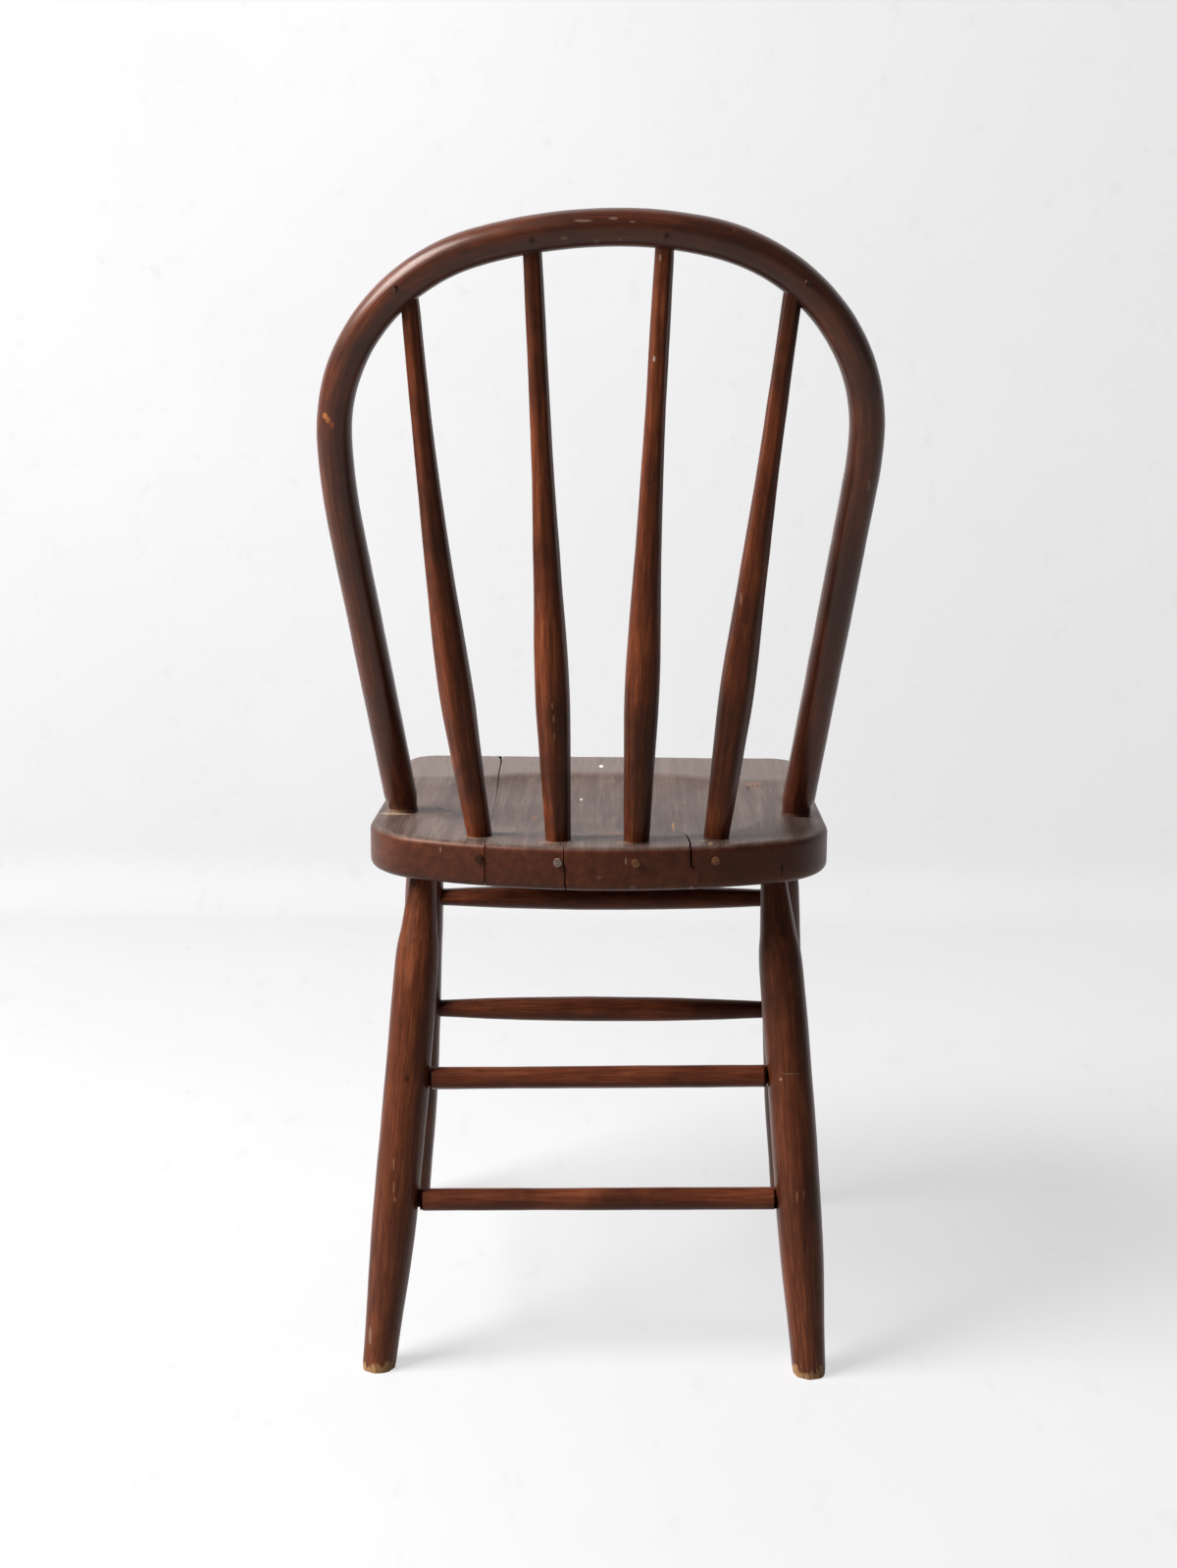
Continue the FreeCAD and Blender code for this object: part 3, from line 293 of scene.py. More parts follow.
def start_tree(name, sizes):
    """A tree with a Geometry input and named inputs, each a socket kind and a value.

    Gives the tree, the function that adds its nodes, and its inputs.
    """
    tree = bpy.data.node_groups.new(name, "GeometryNodeTree")
    tree.interface.new_socket("Geometry", in_out="INPUT", socket_type="NodeSocketGeometry")
    for label, (kind, value) in sizes.items():
        socket = tree.interface.new_socket(label, in_out="INPUT", socket_type="NodeSocket" + kind)
        if value is not None:
            socket.default_value = value
    tree.interface.new_socket("Geometry", in_out="OUTPUT", socket_type="NodeSocketGeometry")
    add = partial(add_node, tree)
    return tree, add, add("NodeGroupInput").outputs


def out_from_axis(add, here):
    """The way from the nearest point of a piece's axis to its surface."""
    axis_point = add("GeometryNodeInputNamedAttribute", {"Name": "axis_point"}, data_type="FLOAT_VECTOR")
    return add("ShaderNodeVectorMath", {0: here, 1: axis_point}, operation="SUBTRACT")


def wear_and_finish(add, body, out, push, size):
    """Stands the surface in and out by hand-made unevenness, then smooths and paints it."""
    here = add("GeometryNodeInputPosition")
    outward = add("ShaderNodeVectorMath", {0: out}, operation="NORMALIZE")
    shift = add("ShaderNodeVectorMath", {0: here, 1: size["Seed"]}, operation="ADD")
    cloud = add("ShaderNodeTexNoise", {"Vector": shift, "Scale": 19.0, "Detail": 2.0})
    centred = add("ShaderNodeMath", {0: cloud, 1: 0.5}, operation="SUBTRACT")
    swing = add("ShaderNodeMath", {0: size["Wobble"], 1: 4.0}, operation="MULTIPLY")
    total = add("ShaderNodeMath", {0: centred, 1: swing, 2: push}, operation="MULTIPLY_ADD")
    offset = add("ShaderNodeVectorMath", {0: outward, "Scale": total}, operation="SCALE")
    worn = add("GeometryNodeSetPosition", {"Geometry": body, "Offset": offset})
    real = add("GeometryNodeRealizeInstances", {"Geometry": worn})
    smooth = add("GeometryNodeSetShadeSmooth", {"Geometry": real})
    painted = add("GeometryNodeSetMaterial", {"Geometry": smooth, "Material": size["Material"]})
    add("NodeGroupOutput", {"Geometry": painted})


def lathe_tree():
    """Turns a profile of (radius, 0, along) points about Z, with a bend and soft flats."""
    tree, add, size = start_tree("lathe", {
        "Ring gap": ("Float", 3 * MM), "Segments": ("Int", 40), "Bend": ("Float", 0.0),
        "Bend start": ("Float", 0.0), "Bend end": ("Float", 0.4), "Wobble": ("Float", 0.2 * MM),
        "Flats": ("Float", 0.0), "Flat count": ("Float", 9.0), "Seed": ("Float", 0.0),
        "Material": ("Material", None)})
    line = add("GeometryNodeMeshToCurve", {"Mesh": size["Geometry"]})
    spline = add("GeometryNodeCurveSplineType", {"Curve": line}, spline_type="CATMULL_ROM")
    rings = add("GeometryNodeResampleCurve", {"Curve": spline, "Length": size["Ring gap"]}, mode="LENGTH")
    here = add("GeometryNodeInputPosition")
    place = add("ShaderNodeSeparateXYZ", {"Vector": here}).outputs
    radii = add("GeometryNodeStoreNamedAttribute",
                {"Geometry": rings, "Name": "turned_radius", "Value": place["X"]})
    share = add("ShaderNodeMapRange", {
        "Value": place["Z"], "From Min": size["Bend start"], "From Max": size["Bend end"]})
    left = add("ShaderNodeMath", {0: 1.0, 1: share}, operation="SUBTRACT")
    hump = add("ShaderNodeMath", {0: share, 1: left}, operation="MULTIPLY")
    bend = add("ShaderNodeMath", {0: size["Bend"], 1: 4.0}, operation="MULTIPLY")
    sag = add("ShaderNodeMath", {0: hump, 1: bend}, operation="MULTIPLY")
    middle = add("ShaderNodeCombineXYZ", {"X": sag, "Z": place["Z"]})
    axis = add("GeometryNodeSetPosition", {"Geometry": radii, "Position": middle})
    axis = add("GeometryNodeStoreNamedAttribute", {
        "Geometry": axis, "Name": "axis_point", "Value": middle}, data_type="FLOAT_VECTOR")
    circle = add("GeometryNodeCurvePrimitiveCircle", {"Resolution": size["Segments"], "Radius": 1.0})
    radius = add("GeometryNodeInputNamedAttribute", {"Name": "turned_radius"})
    body = add("GeometryNodeCurveToMesh", {
        "Curve": axis, "Profile Curve": circle, "Scale": radius, "Fill Caps": True})
    # the grain starts at another place of the tree for each piece
    grain = add("ShaderNodeVectorMath", {0: here, 1: size["Seed"]}, operation="ADD")
    body = add("GeometryNodeStoreNamedAttribute", {
        "Geometry": body, "Name": "grain", "Value": grain}, data_type="FLOAT_VECTOR")
    out = out_from_axis(add, here)
    spread = add("ShaderNodeSeparateXYZ", {"Vector": out}).outputs
    angle = add("ShaderNodeMath", {0: spread["Y"], 1: spread["X"]}, operation="ARCTAN2")
    turns = add("ShaderNodeMath", {0: angle, 1: size["Flat count"], 2: size["Seed"]},
                operation="MULTIPLY_ADD")
    lobes = add("ShaderNodeMath", {0: turns}, operation="COSINE")
    patches = add("ShaderNodeTexNoise", {"Vector": grain, "Scale": 14.0})
    strength = add("ShaderNodeMath", {0: patches, 1: size["Flats"]}, operation="MULTIPLY")
    shaved = add("ShaderNodeMath", {0: lobes, 1: strength}, operation="MULTIPLY")
    wear_and_finish(add, body, out, shaved, size)
    return tree


def bender_tree():
    """Sweeps a rounded square along the bow's middle line and tapers it into its tenons."""
    tree, add, size = start_tree("bender", {
        "Section": ("Float", BOW_SECTION * MM), "Corner": ("Float", BOW_CORNER * MM),
        "Tenon": ("Float", BOW_TENON * MM), "Taper from": ("Float", 5 * MM), "Taper to": ("Float", 22 * MM),
        "Taper growth": ("Float", 3.1 * MM), "Free above": ("Float", 3 * MM),
        "Ring gap": ("Float", 2.5 * MM), "Wobble": ("Float", 0.3 * MM), "Seed": ("Float", 3.0),
        "Material": ("Material", None)})
    line = add("GeometryNodeMeshToCurve", {"Mesh": size["Geometry"]})
    rings = add("GeometryNodeResampleCurve", {"Curve": line, "Length": size["Ring gap"]}, mode="LENGTH")
    upright = add("GeometryNodeSetCurveNormal", {"Curve": rings, "Normal": (0, 1, 0)}, mode="FREE")
    run = add("GeometryNodeSplineParameter").outputs["Length"]
    here = add("GeometryNodeInputPosition")
    path = add("GeometryNodeStoreNamedAttribute", {"Geometry": upright, "Name": "run", "Value": run})
    path = add("GeometryNodeStoreNamedAttribute", {
        "Geometry": path, "Name": "axis_point", "Value": here}, data_type="FLOAT_VECTOR")
    square = add("GeometryNodeCurvePrimitiveQuadrilateral",
                 {"Width": size["Section"], "Height": size["Section"]}, mode="RECTANGLE")
    rounded = add("GeometryNodeFilletCurve", {
        "Curve": square, "Count": 8, "Radius": size["Corner"]}, mode="POLY")
    section = add("GeometryNodeResampleCurve", {"Curve": rounded, "Count": 56}, mode="COUNT")
    section = add("GeometryNodeStoreNamedAttribute", {
        "Geometry": section, "Name": "section", "Value": here}, data_type="FLOAT_VECTOR")
    body = add("GeometryNodeCurveToMesh", {"Curve": path, "Profile Curve": section, "Fill Caps": True})
    # the grain follows the bend, as in a steamed rod
    cut = add("GeometryNodeInputNamedAttribute", {"Name": "section"}, data_type="FLOAT_VECTOR")
    cut = add("ShaderNodeSeparateXYZ", {"Vector": cut}).outputs
    run = add("GeometryNodeInputNamedAttribute", {"Name": "run"})
    grain = add("ShaderNodeCombineXYZ", {"X": cut["X"], "Y": cut["Y"], "Z": run})
    body = add("GeometryNodeStoreNamedAttribute", {
        "Geometry": body, "Name": "grain", "Value": grain}, data_type="FLOAT_VECTOR")
    out = out_from_axis(add, here)
    reach = add("ShaderNodeVectorMath", {0: out}, operation="LENGTH")
    up = add("ShaderNodeSeparateXYZ", {"Vector": here}).outputs["Z"]
    growth = add("ShaderNodeMapRange", {
        "Value": up, "From Min": size["Taper from"], "From Max": size["Taper to"],
        "To Max": size["Taper growth"]})
    tenon = add("ShaderNodeMath", {0: size["Tenon"], 1: 0.5, 2: growth}, operation="MULTIPLY_ADD")
    above = add("ShaderNodeMath", {0: up, 1: size["Taper to"]}, operation="GREATER_THAN")
    allowed = add("ShaderNodeMath", {0: above, 1: size["Free above"], 2: tenon}, operation="MULTIPLY_ADD")
    spare = add("ShaderNodeMath", {0: allowed, 1: reach}, operation="SUBTRACT")
    pull = add("ShaderNodeMath", {0: spare, 1: 0.0}, operation="MINIMUM")
    wear_and_finish(add, body, out, pull, size)
    return tree


def new_object(name, data):
    thing = bpy.data.objects.new(name, data)
    scene.collection.objects.link(thing)
    return thing


def new_piece(name, vertices, edges, faces):
    """A mesh object at the origin from points in millimetres."""
    mesh = bpy.data.meshes.new(name)
    mesh.from_pydata([Vector(v) * MM for v in vertices], edges, faces)
    return new_object(name, mesh)


def run_tree(name, points, tree, sizes):
    """Runs a tree on a line of points and keeps the result as a plain mesh."""
    piece = new_piece(name, points, [(i, i + 1) for i in range(len(points) - 1)], [])
    modifier = piece.modifiers.new("shape", "NODES")
    modifier.node_group = tree
    sockets = {item.name: item.identifier for item in tree.interface.items_tree if item.in_out == "INPUT"}
    for label, value in sizes.items():
        modifier[sockets[label]] = value
    view = bpy.context.evaluated_depsgraph_get()
    line, piece.data = piece.data, bpy.data.meshes.new_from_object(piece.evaluated_get(view))
    piece.modifiers.remove(modifier)
    bpy.data.meshes.remove(line)
    piece.data.name = name
    return piece


def turn_piece(name, profile, start, direction, sizes):
    """A turned piece: (radius, along) points of its profile, laid along a direction."""
    piece = run_tree(name, [(radius, 0, along) for radius, along in profile], LATHE, sizes)
    turn = Matrix.Translation(Vector(start) * MM) @ along_axis(direction).to_4x4()
    piece.data.transform(turn)
    piece.data.set_sharp_from_angle(angle=math.radians(50))
    return piece


def cut_level(piece, height, above_too=()):
    """Cuts a piece off level below a height, closes it and points its faces outward."""
    shape = bmesh.new()
    shape.from_mesh(piece.data)
    everything = shape.verts[:] + shape.edges[:] + shape.faces[:]
    bmesh.ops.bisect_plane(shape, geom=everything, plane_co=(0, 0, height * MM),
                           plane_no=(0, 0, -1), clear_outer=True)
    for vertices, faces in above_too:
        added = [shape.verts.new(Vector(v) * MM) for v in vertices]
        for face in faces:
            shape.faces.new([added[i] for i in face]).smooth = True
    bmesh.ops.holes_fill(shape, edges=[edge for edge in shape.edges if edge.is_boundary])
    bmesh.ops.recalc_face_normals(shape, faces=shape.faces)
    shape.to_mesh(piece.data)
    shape.free()
    piece.data.set_sharp_from_angle(angle=math.radians(50))


def dress(piece, node):
    """Puts a finished piece on the chair in place of its CAD node."""
    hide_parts(node)
    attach(piece, "root")


# Materials


def pattern(add, place, per_metre, detail=3.0, roughness=0.55, distortion=0.0):
    """Soft noise with so many turns a metre along each axis."""
    scaled = add("ShaderNodeVectorMath", {0: place, 1: per_metre}, operation="MULTIPLY")
    return add("ShaderNodeTexNoise", {
        "Vector": scaled, "Scale": 1.0, "Detail": detail, "Roughness": roughness, "Distortion": distortion})


def lay_over(add, colour, cover, low, high, code, strength=1.0):
    """Lays another colour on where a cover value goes from low to high."""
    mask = add("ShaderNodeMapRange", {
        "Value": cover, "From Min": low, "From Max": high, "To Max": strength},
        interpolation_type="SMOOTHSTEP")
    return add("ShaderNodeMix", {"Factor": mask, "A": colour, "B": code}, data_type="RGBA")


def lay_marks(add, colour, room, marks):
    """Lays the chips, scratches and stains of a part over its colour, with ragged edges."""
    ragged = pattern(add, room, (300, 120, 300), 3.0, 0.7)
    for code, centre, reach, strength in marks:
        away = add("ShaderNodeVectorMath", {0: room, 1: Vector(centre) * MM}, operation="SUBTRACT")
        scaled = add("ShaderNodeVectorMath",
                     {0: away, 1: [1 / (r * MM) for r in reach]}, operation="MULTIPLY")
        distance = add("ShaderNodeVectorMath", {0: scaled}, operation="LENGTH")
        edge = add("ShaderNodeMath", {0: ragged, 1: 1.0, 2: distance}, operation="MULTIPLY_ADD")
        colour = lay_over(add, colour, edge, 1.75, 1.25, code, strength)
    return colour


def start_nodes(owner):
    """Empties the node tree of a material or world and gives the function that adds its nodes."""
    owner.use_nodes = True
    owner.node_tree.nodes.clear()
    return partial(add_node, owner.node_tree)


def start_material(name):
    material = bpy.data.materials.new(name)
    return material, start_nodes(material)


def finish_wood(add, colour, roughness, relief, depth, shine, coat, coat_roughness):
    """Wood with a relief as deep as its open grain, under what is left of its varnish."""
    bump = add("ShaderNodeBump", {"Strength": depth, "Distance": 0.6 * MM, "Height": relief})
    wood = add("ShaderNodeBsdfPrincipled", {
        "Base Color": colour, "Roughness": roughness, "Normal": bump, "IOR": 1.5,
        "Specular IOR Level": shine, "Specular Tint": "#d8a78a", "Coat Weight": coat,
        "Coat Roughness": coat_roughness, "Coat IOR": 1.5})
    add("ShaderNodeOutputMaterial", {"Surface": wood})


def varnished_beech(name, stain, marks, shine=0.2, coat=0.12, bare_feet=False):
    """Turned or bent beech under an old tinted varnish.

    Lengthwise red-brown streaks, fine dark pores, dark grime in patches, small lighter scuffs
    where the varnish is rubbed thin, and on the legs bare wood at the floor.
    """
    material, add = start_material(name)
    grain = add("ShaderNodeAttribute", attribute_name="grain").outputs["Vector"]
    room = add("ShaderNodeTexCoord").outputs["Object"]
    # streaks 2 to 3 mm wide and 50 mm long, fibres 1 mm wide, pores 0.6 mm by 12 mm
    streaks = pattern(add, grain, (400, 400, 20), 3.0, 0.6, 0.2)
    fibres = pattern(add, grain, (1100, 1100, 45), 2.0, 0.6)
    pores = pattern(add, grain, (1500, 1500, 80), 1.0)
    clouds = pattern(add, grain, (24, 24, 10), 3.0, 0.6)
    grime = pattern(add, room, (10, 10, 10), 4.0, 0.65)
    scuffs = pattern(add, room, (75, 75, 50), 5.0, 0.72)
    tone = add("ShaderNodeMix", {"Factor": 0.5, "A": streaks, "B": clouds})
    tone = add("ShaderNodeMix", {"Factor": 0.25, "A": tone, "B": fibres})
    colour = add("ShaderNodeValToRGB", {"Fac": tone}, stops=list(zip((0.34, 0.5, 0.66), stain)))
    colour = lay_over(add, colour, pores, 0.60, 0.72, "#170a06", 0.4)
    colour = lay_over(add, colour, grime, 0.44, 0.68, "#200f0a", 0.65)
    colour = lay_over(add, colour, scuffs, 0.68, 0.75, "#8a5032", 0.45)
    colour = lay_marks(add, colour, room, marks)
    roughness = add("ShaderNodeMapRange", {
        "Value": clouds, "From Min": 0.3, "From Max": 0.7, "To Min": 0.32, "To Max": 0.46})
    if bare_feet:
        height = add("ShaderNodeSeparateXYZ", {"Vector": room}).outputs["Z"]
        ragged = pattern(add, room, (260, 260, 60), 3.0, 0.7)
        level = add("ShaderNodeMath", {0: ragged, 1: -24 * MM, 2: height}, operation="MULTIPLY_ADD")
        bare = add("ShaderNodeMapRange", {"Value": level, "From Min": -4 * MM, "From Max": -6.5 * MM})
        raw = add("ShaderNodeValToRGB", {"Fac": fibres}, stops=[(0.3, "#7a5236"), (0.6, "#b58a60")])
        colour = add("ShaderNodeMix", {"Factor": bare, "A": colour, "B": raw}, data_type="RGBA")
        roughness = add("ShaderNodeMix", {"Factor": bare, "A": roughness, "B": 0.85})
    relief = add("ShaderNodeMix", {"Factor": 0.4, "A": streaks, "B": fibres})
    relief = add("ShaderNodeMath", {0: pores, 1: -0.5, 2: relief}, operation="MULTIPLY_ADD")
    finish_wood(add, colour, roughness, relief, 0.25, shine, coat, 0.28)
    return material


def waxed_elm(name):
    """Sawn and adzed elm boards, stained and waxed.

    Coarse grain from front to back, fibres raised by wear, a grey-brown over the top that is partly
    fine dirt held in its grain and partly a painted sheen, a paler painted sheen on the flat rim,
    most at the front, with some wear, dark varnish left on the edge, and a dull sheen.
    """
    material, add = start_material(name)
    room = add("ShaderNodeTexCoord").outputs["Object"]
    facing = add("ShaderNodeNewGeometry").outputs["True Normal"]
    upward = add("ShaderNodeSeparateXYZ", {"Vector": facing}).outputs["Z"]
    top = add("ShaderNodeMapRange", {"Value": upward, "From Min": 0.45, "From Max": 0.9})
    # streaks 4 to 8 mm wide, fibres 1 mm wide and 40 mm long, flecks 2 mm by 16 mm
    streaks = pattern(add, room, (130, 6, 130), 4.0, 0.6, 0.4)
    fibres = pattern(add, room, (950, 24, 950), 2.0, 0.6)
    flecks = pattern(add, room, (480, 60, 480), 4.0, 0.7)
    clouds = pattern(add, room, (14, 14, 14), 4.0, 0.6)
    tone = add("ShaderNodeMix", {"Factor": 0.5, "A": streaks, "B": clouds})
    fine = add("ShaderNodeMix", {"Factor": 0.4, "A": streaks, "B": fibres})
    stain = add("ShaderNodeValToRGB", {"Fac": tone},
                stops=[(0.34, "#2c150d"), (0.5, "#472217"), (0.66, "#5f3220")])
    # painted sheen: faces that look up are mixed towards this grey-brown, partly dust in the grain and
    # partly a painted sheen that stands in for the bright room mirrored at a low angle
    dusty_sheen_colour = add("ShaderNodeValToRGB", {"Fac": fine},
                stops=[(0.34, "#433530"), (0.5, "#5e4f49"), (0.66, "#78695f")])
    film = add("ShaderNodeMapRange", {
        "Value": clouds, "From Min": 0.3, "From Max": 0.6, "To Min": 0.5, "To Max": 0.9})
    dust_and_sheen = add("ShaderNodeMath", {0: top, 1: film}, operation="MULTIPLY")
    colour = add("ShaderNodeMix", {"Factor": dust_and_sheen, "A": stain, "B": dusty_sheen_colour}, data_type="RGBA")
    # painted sheen: the flat rim, most at the front, gets a paler grey, a painted sheen of the bright room
    # at a low angle together with some wear
    rim = add("ShaderNodeAttribute", attribute_name="rim").outputs["Fac"]
    worn = add("ShaderNodeMath", {0: rim, 1: top}, operation="MULTIPLY")
    colour = lay_over(add, colour, worn, 0.88, 1.0, "#8c7e77", 0.45)
    colour = lay_over(add, colour, fibres, 0.40, 0.30, "#1d100b", 0.4)
    bare = add("ShaderNodeMath", {0: top, 1: flecks}, operation="MULTIPLY")
    colour = lay_over(add, colour, bare, 0.70, 0.77, "#84563a", 0.7)
    colour = lay_marks(add, colour, room, SEAT_MARKS)
    roughness = add("ShaderNodeMapRange", {"Value": top, "To Min": 0.42, "To Max": 0.48})
    relief = add("ShaderNodeMapRange", {"Value": top, "To Min": 0.25, "To Max": 1.0})
    relief = add("ShaderNodeMath", {0: relief, 1: fine}, operation="MULTIPLY")
    finish_wood(add, colour, roughness, relief, 0.4, 0.45, 0.08, 0.35)
    return material


def end_grain(name, middle, rim):
    """Cut ends of the pegs, pins and wedges: speckled end grain, darkened by wax."""
    material, add = start_material(name)
    room = add("ShaderNodeTexCoord").outputs["Object"]
    specks = pattern(add, room, (1300, 1300, 1300), 3.0, 0.7)
    colour = add("ShaderNodeValToRGB", {"Fac": specks}, stops=[(0.36, rim), (0.62, middle)])
    finish_wood(add, colour, 0.45, specks, 0.3, 0.3, 0.1, 0.3)
    return material


BENT_BEECH = varnished_beech("varnished_bent_beech", ("#2c120a", "#502414", "#7c4025"),
                             BOW_MARKS, shine=0.35, coat=0.42)
LEG_BEECH = varnished_beech("varnished_leg_beech", ("#35180f", "#60311e", "#8c4e31"),
                            LEG_MARKS, coat=0.18, bare_feet=True)
RAIL_BEECH = varnished_beech("varnished_rail_beech", ("#33170e", "#613120", "#8a4b2f"), [])
SPINDLE_BEECH = varnished_beech("varnished_spindle_beech", ("#32150c", "#63301b", "#94502f"), SPINDLE_MARKS)
SEAT_ELM = waxed_elm("waxed_elm_seat")
DARK_ENDS = end_grain("dark_pin_end_grain", "#4b2d1f", "#1c0f0a")
BROWN_ENDS = end_grain("brown_peg_end_grain", "#84593f", "#2e1a12")
GREY_ENDS = end_grain("chalky_peg_end_grain", "#94857a", "#3f2e26")

LATHE = lathe_tree()
BENDER = bender_tree()


# Turned pieces


def make_leg(name, seed):
    """A leg, its foot worn round and cut level with the floor."""
    foot, axis, length = leg_line(name)
    widths = [(26.2, -6), (29.8, 44), (33.5, 80), (36, 125), (36.4, 205),
              (35, length - 82), (29, length - 48), (23.6, length - 22),
              (21, length - 5), (21, length + 12), (21, length + 23.8)]
    piece = turn_piece(name + "_turned", [(w / 2, along) for w, along in widths], foot, axis, {
        "Bend": LEGS[name][2] * MM, "Bend start": -6 * MM, "Bend end": (length - 5.0) * MM,
        "Wobble": 0.28 * MM, "Flats": 0.35 * MM, "Flat count": 7.0, "Seed": seed,
        "Segments": 48, "Material": LEG_BEECH})
    for vertex in piece.data.vertices:
        low = max(0.0, 1.0 - vertex.co.z / (9 * MM))
        if low > 0 and vertex.co.z > -2 * MM:
            middle = foot * MM + axis * (vertex.co.z / axis.z)
            chipped = 0.05 + 0.07 * noise.noise(vertex.co * 160.0 + Vector((seed, 0, 0)))
            vertex.co -= (vertex.co - middle) * low * low * chipped
    cut_level(piece, 0.0)
    dress(piece, name)


def make_stretcher(name, seed):
    """A stretcher between two legs: plain with eased shoulders at the rear, bulged elsewhere."""
    first, first_up, second, second_up = STRETCHERS[name]
    start, stop = leg_point(first, first_up), leg_point(second, second_up)
    axis = (stop - start).normalized()
    start = start - axis * 4.0
    length = (stop - start).length + 4.0
    if "rear" in name:
        near = 22.7
        half = [(6.5, 0.2), (6.5, near - 0.6), (6.7, near - 0.1), (7.6, near + 0.15),
                (8.5, near + 0.8), (8.9, near + 2.4), (8.95, near + 8)]
        middle = [(8.85, length * 0.35), (9, length * 0.6)]
    else:
        near = 27.2
        end, full = (8.0, 11.5) if "front" in name else (7.5, 10.5)
        half = [(end, 0.2), (end, near * 0.5), (end, near)]
        middle = [(end + (full - end) * (1 - (2 * share - 1) ** 2), near + (length - 2 * near) * share)
                  for share in (0.12, 0.25, 0.4, 0.5, 0.6, 0.75, 0.88)]
    profile = half + middle + [(r, length - along) for r, along in reversed(half)]
    piece = turn_piece(name + "_turned", profile, start, axis, {
        "Wobble": 0.2 * MM, "Flats": 0.3 * MM, "Flat count": 5.0, "Seed": seed,
        "Segments": 36, "Ring gap": 2.5 * MM, "Material": RAIL_BEECH})
    dress(piece, name)


def make_spindle(place, seed):
    """A spindle with a long belly low down and a thin top, worn into soft flats."""
    base, axis, length = spindle_line(place)
    widths = [(19.6, -21.5), (19.6, -8), (19.6, 4), (24, 74), (26.3, 118),
              (23.9, 170), (20.3, 217), (15.2, 317), (13.6, length - 22),
              (13.6, length - 8), (13.6, length + 5.5)]
    profile = [(width / 2, along) for width, along in widths]
    piece = turn_piece("spindle_%s_turned" % place, profile, base, axis, {
        "Bend": SPINDLES[place][3] * MM, "Bend start": 4 * MM, "Bend end": (length - 22.0) * MM,
        "Wobble": 0.2 * MM, "Flats": 0.55 * MM, "Flat count": 6.0, "Seed": seed, "Segments": 48,
        "Material": SPINDLE_BEECH})
    dress(piece, "spindle_" + place)


def make_pin(name, node, tip, head, radius, seed, material):
    """A peg or pin with a domed head that stands a hair proud."""
    length = (head - tip).length
    profile = [(radius * 0.9, 0.0), (radius, 0.8), (radius, length - 0.4),
               (radius * 0.86, length + 0.1), (radius * 0.45, length + 0.35)]
    piece = turn_piece(name, profile, tip, (head - tip).normalized(), {
        "Ring gap": 0.5 * MM, "Segments": 20, "Wobble": 0.1 * MM, "Seed": seed, "Material": material})
    dress(piece, node)


PEG_ENDS = {"outer_left": DARK_ENDS, "inner_left": GREY_ENDS,
            "inner_right": BROWN_ENDS, "outer_right": BROWN_ENDS}

for number, leg_name in enumerate(LEGS):
    make_leg(leg_name, 3.0 + 5.0 * number)
for number, rail_name in enumerate(STRETCHERS):
    make_stretcher(rail_name, 41.0 + 3.0 * number)
for number, (spindle_place, (_, _, across, _)) in enumerate(SPINDLES.items()):
    make_spindle(spindle_place, 80.0 + 7.0 * number)
    # a peg from the seat's edge and a pin from the bow's back hold each spindle
    base, axis, length = spindle_line(spindle_place)
    pegged = base - axis * (12.0 / axis.z)
    edge = SEAT_BACK - SEAT_BACK_RADIUS + math.sqrt(SEAT_BACK_RADIUS ** 2 - pegged.x ** 2)
    make_pin("seat_peg_%s_turned" % spindle_place, "seat_peg_" + spindle_place,
             pegged - Vector((0, 14.0, 0)), Vector((pegged.x, edge, pegged.z)), 3.3,
             5.0 * number, PEG_ENDS[spindle_place])
    slant, sunk = (math.copysign(8.5, across), 0.6) if "outer" in spindle_place else (0.0, 0.0)
    middle = on_bow(across, arch_height(across))
    head = on_bow(across + slant, arch_height(across), BOW_SECTION / 2 - sunk)
    make_pin("bow_pin_%s_turned" % spindle_place, "bow_pin_" + spindle_place,
             middle - (head - middle).normalized() * 5.0, head, 2.5, 31.0 + 5.0 * number, DARK_ENDS)


# Bow, with the splinter that has lifted from its right shoulder


def sliver(root, tip, lift, width, thick):
    """A thin curved splinter: it leaves the surface at its root and stands off at its tip."""
    vertices, faces = [], []
    count = 8
    for step in range(count + 1):
        share = step / count
        middle = root.lerp(tip, share) + lift * share * share
        half = width / 2 * (1 - 0.85 * share)
        deep = thick * (1 - 0.8 * share)
        for across, out in ((-half, 0.0), (half, 0.0), (half * 0.6, deep), (-half * 0.6, deep)):
            vertices.append(middle + Vector((0, across, 0)) + lift.normalized() * out)
        if step:
            low = 4 * (step - 1)
            faces += [(low + i, low + (i + 1) % 4, low + 4 + (i + 1) % 4, low + 4 + i) for i in range(4)]
    faces += [(3, 2, 1, 0), tuple(4 * count + i for i in range(4))]
    return vertices, faces


def make_bow():
    left, right = arch_line(1), arch_line(-1)
    bow = run_tree("bow_bent", left + right[-2::-1], BENDER, {"Material": BENT_BEECH})
    bow.data.transform(BOW_FRAME)
    outer = BOW_SECTION / 2 - 0.8
    root = on_bow(-131.0, arch_height(-131.0) + outer, 1.0)
    tip = on_bow(-158.0, arch_height(-158.0) + outer, 1.0)
    splinter = sliver(root, tip, Vector((-0.5, 0.0, 2.6)), 3.4, 1.1)
    cut_level(bow, SEAT_UNDER - 0.2, [splinter])
    dress(bow, "back_bow")


make_bow()


# Seat


def glue_line(y):
    """Where the two boards meet, from front to back."""
    share = (SEAT_BACK - y) / SEAT_DEPTH
    return GLUE_REAR + (GLUE_FRONT - GLUE_REAR) * share


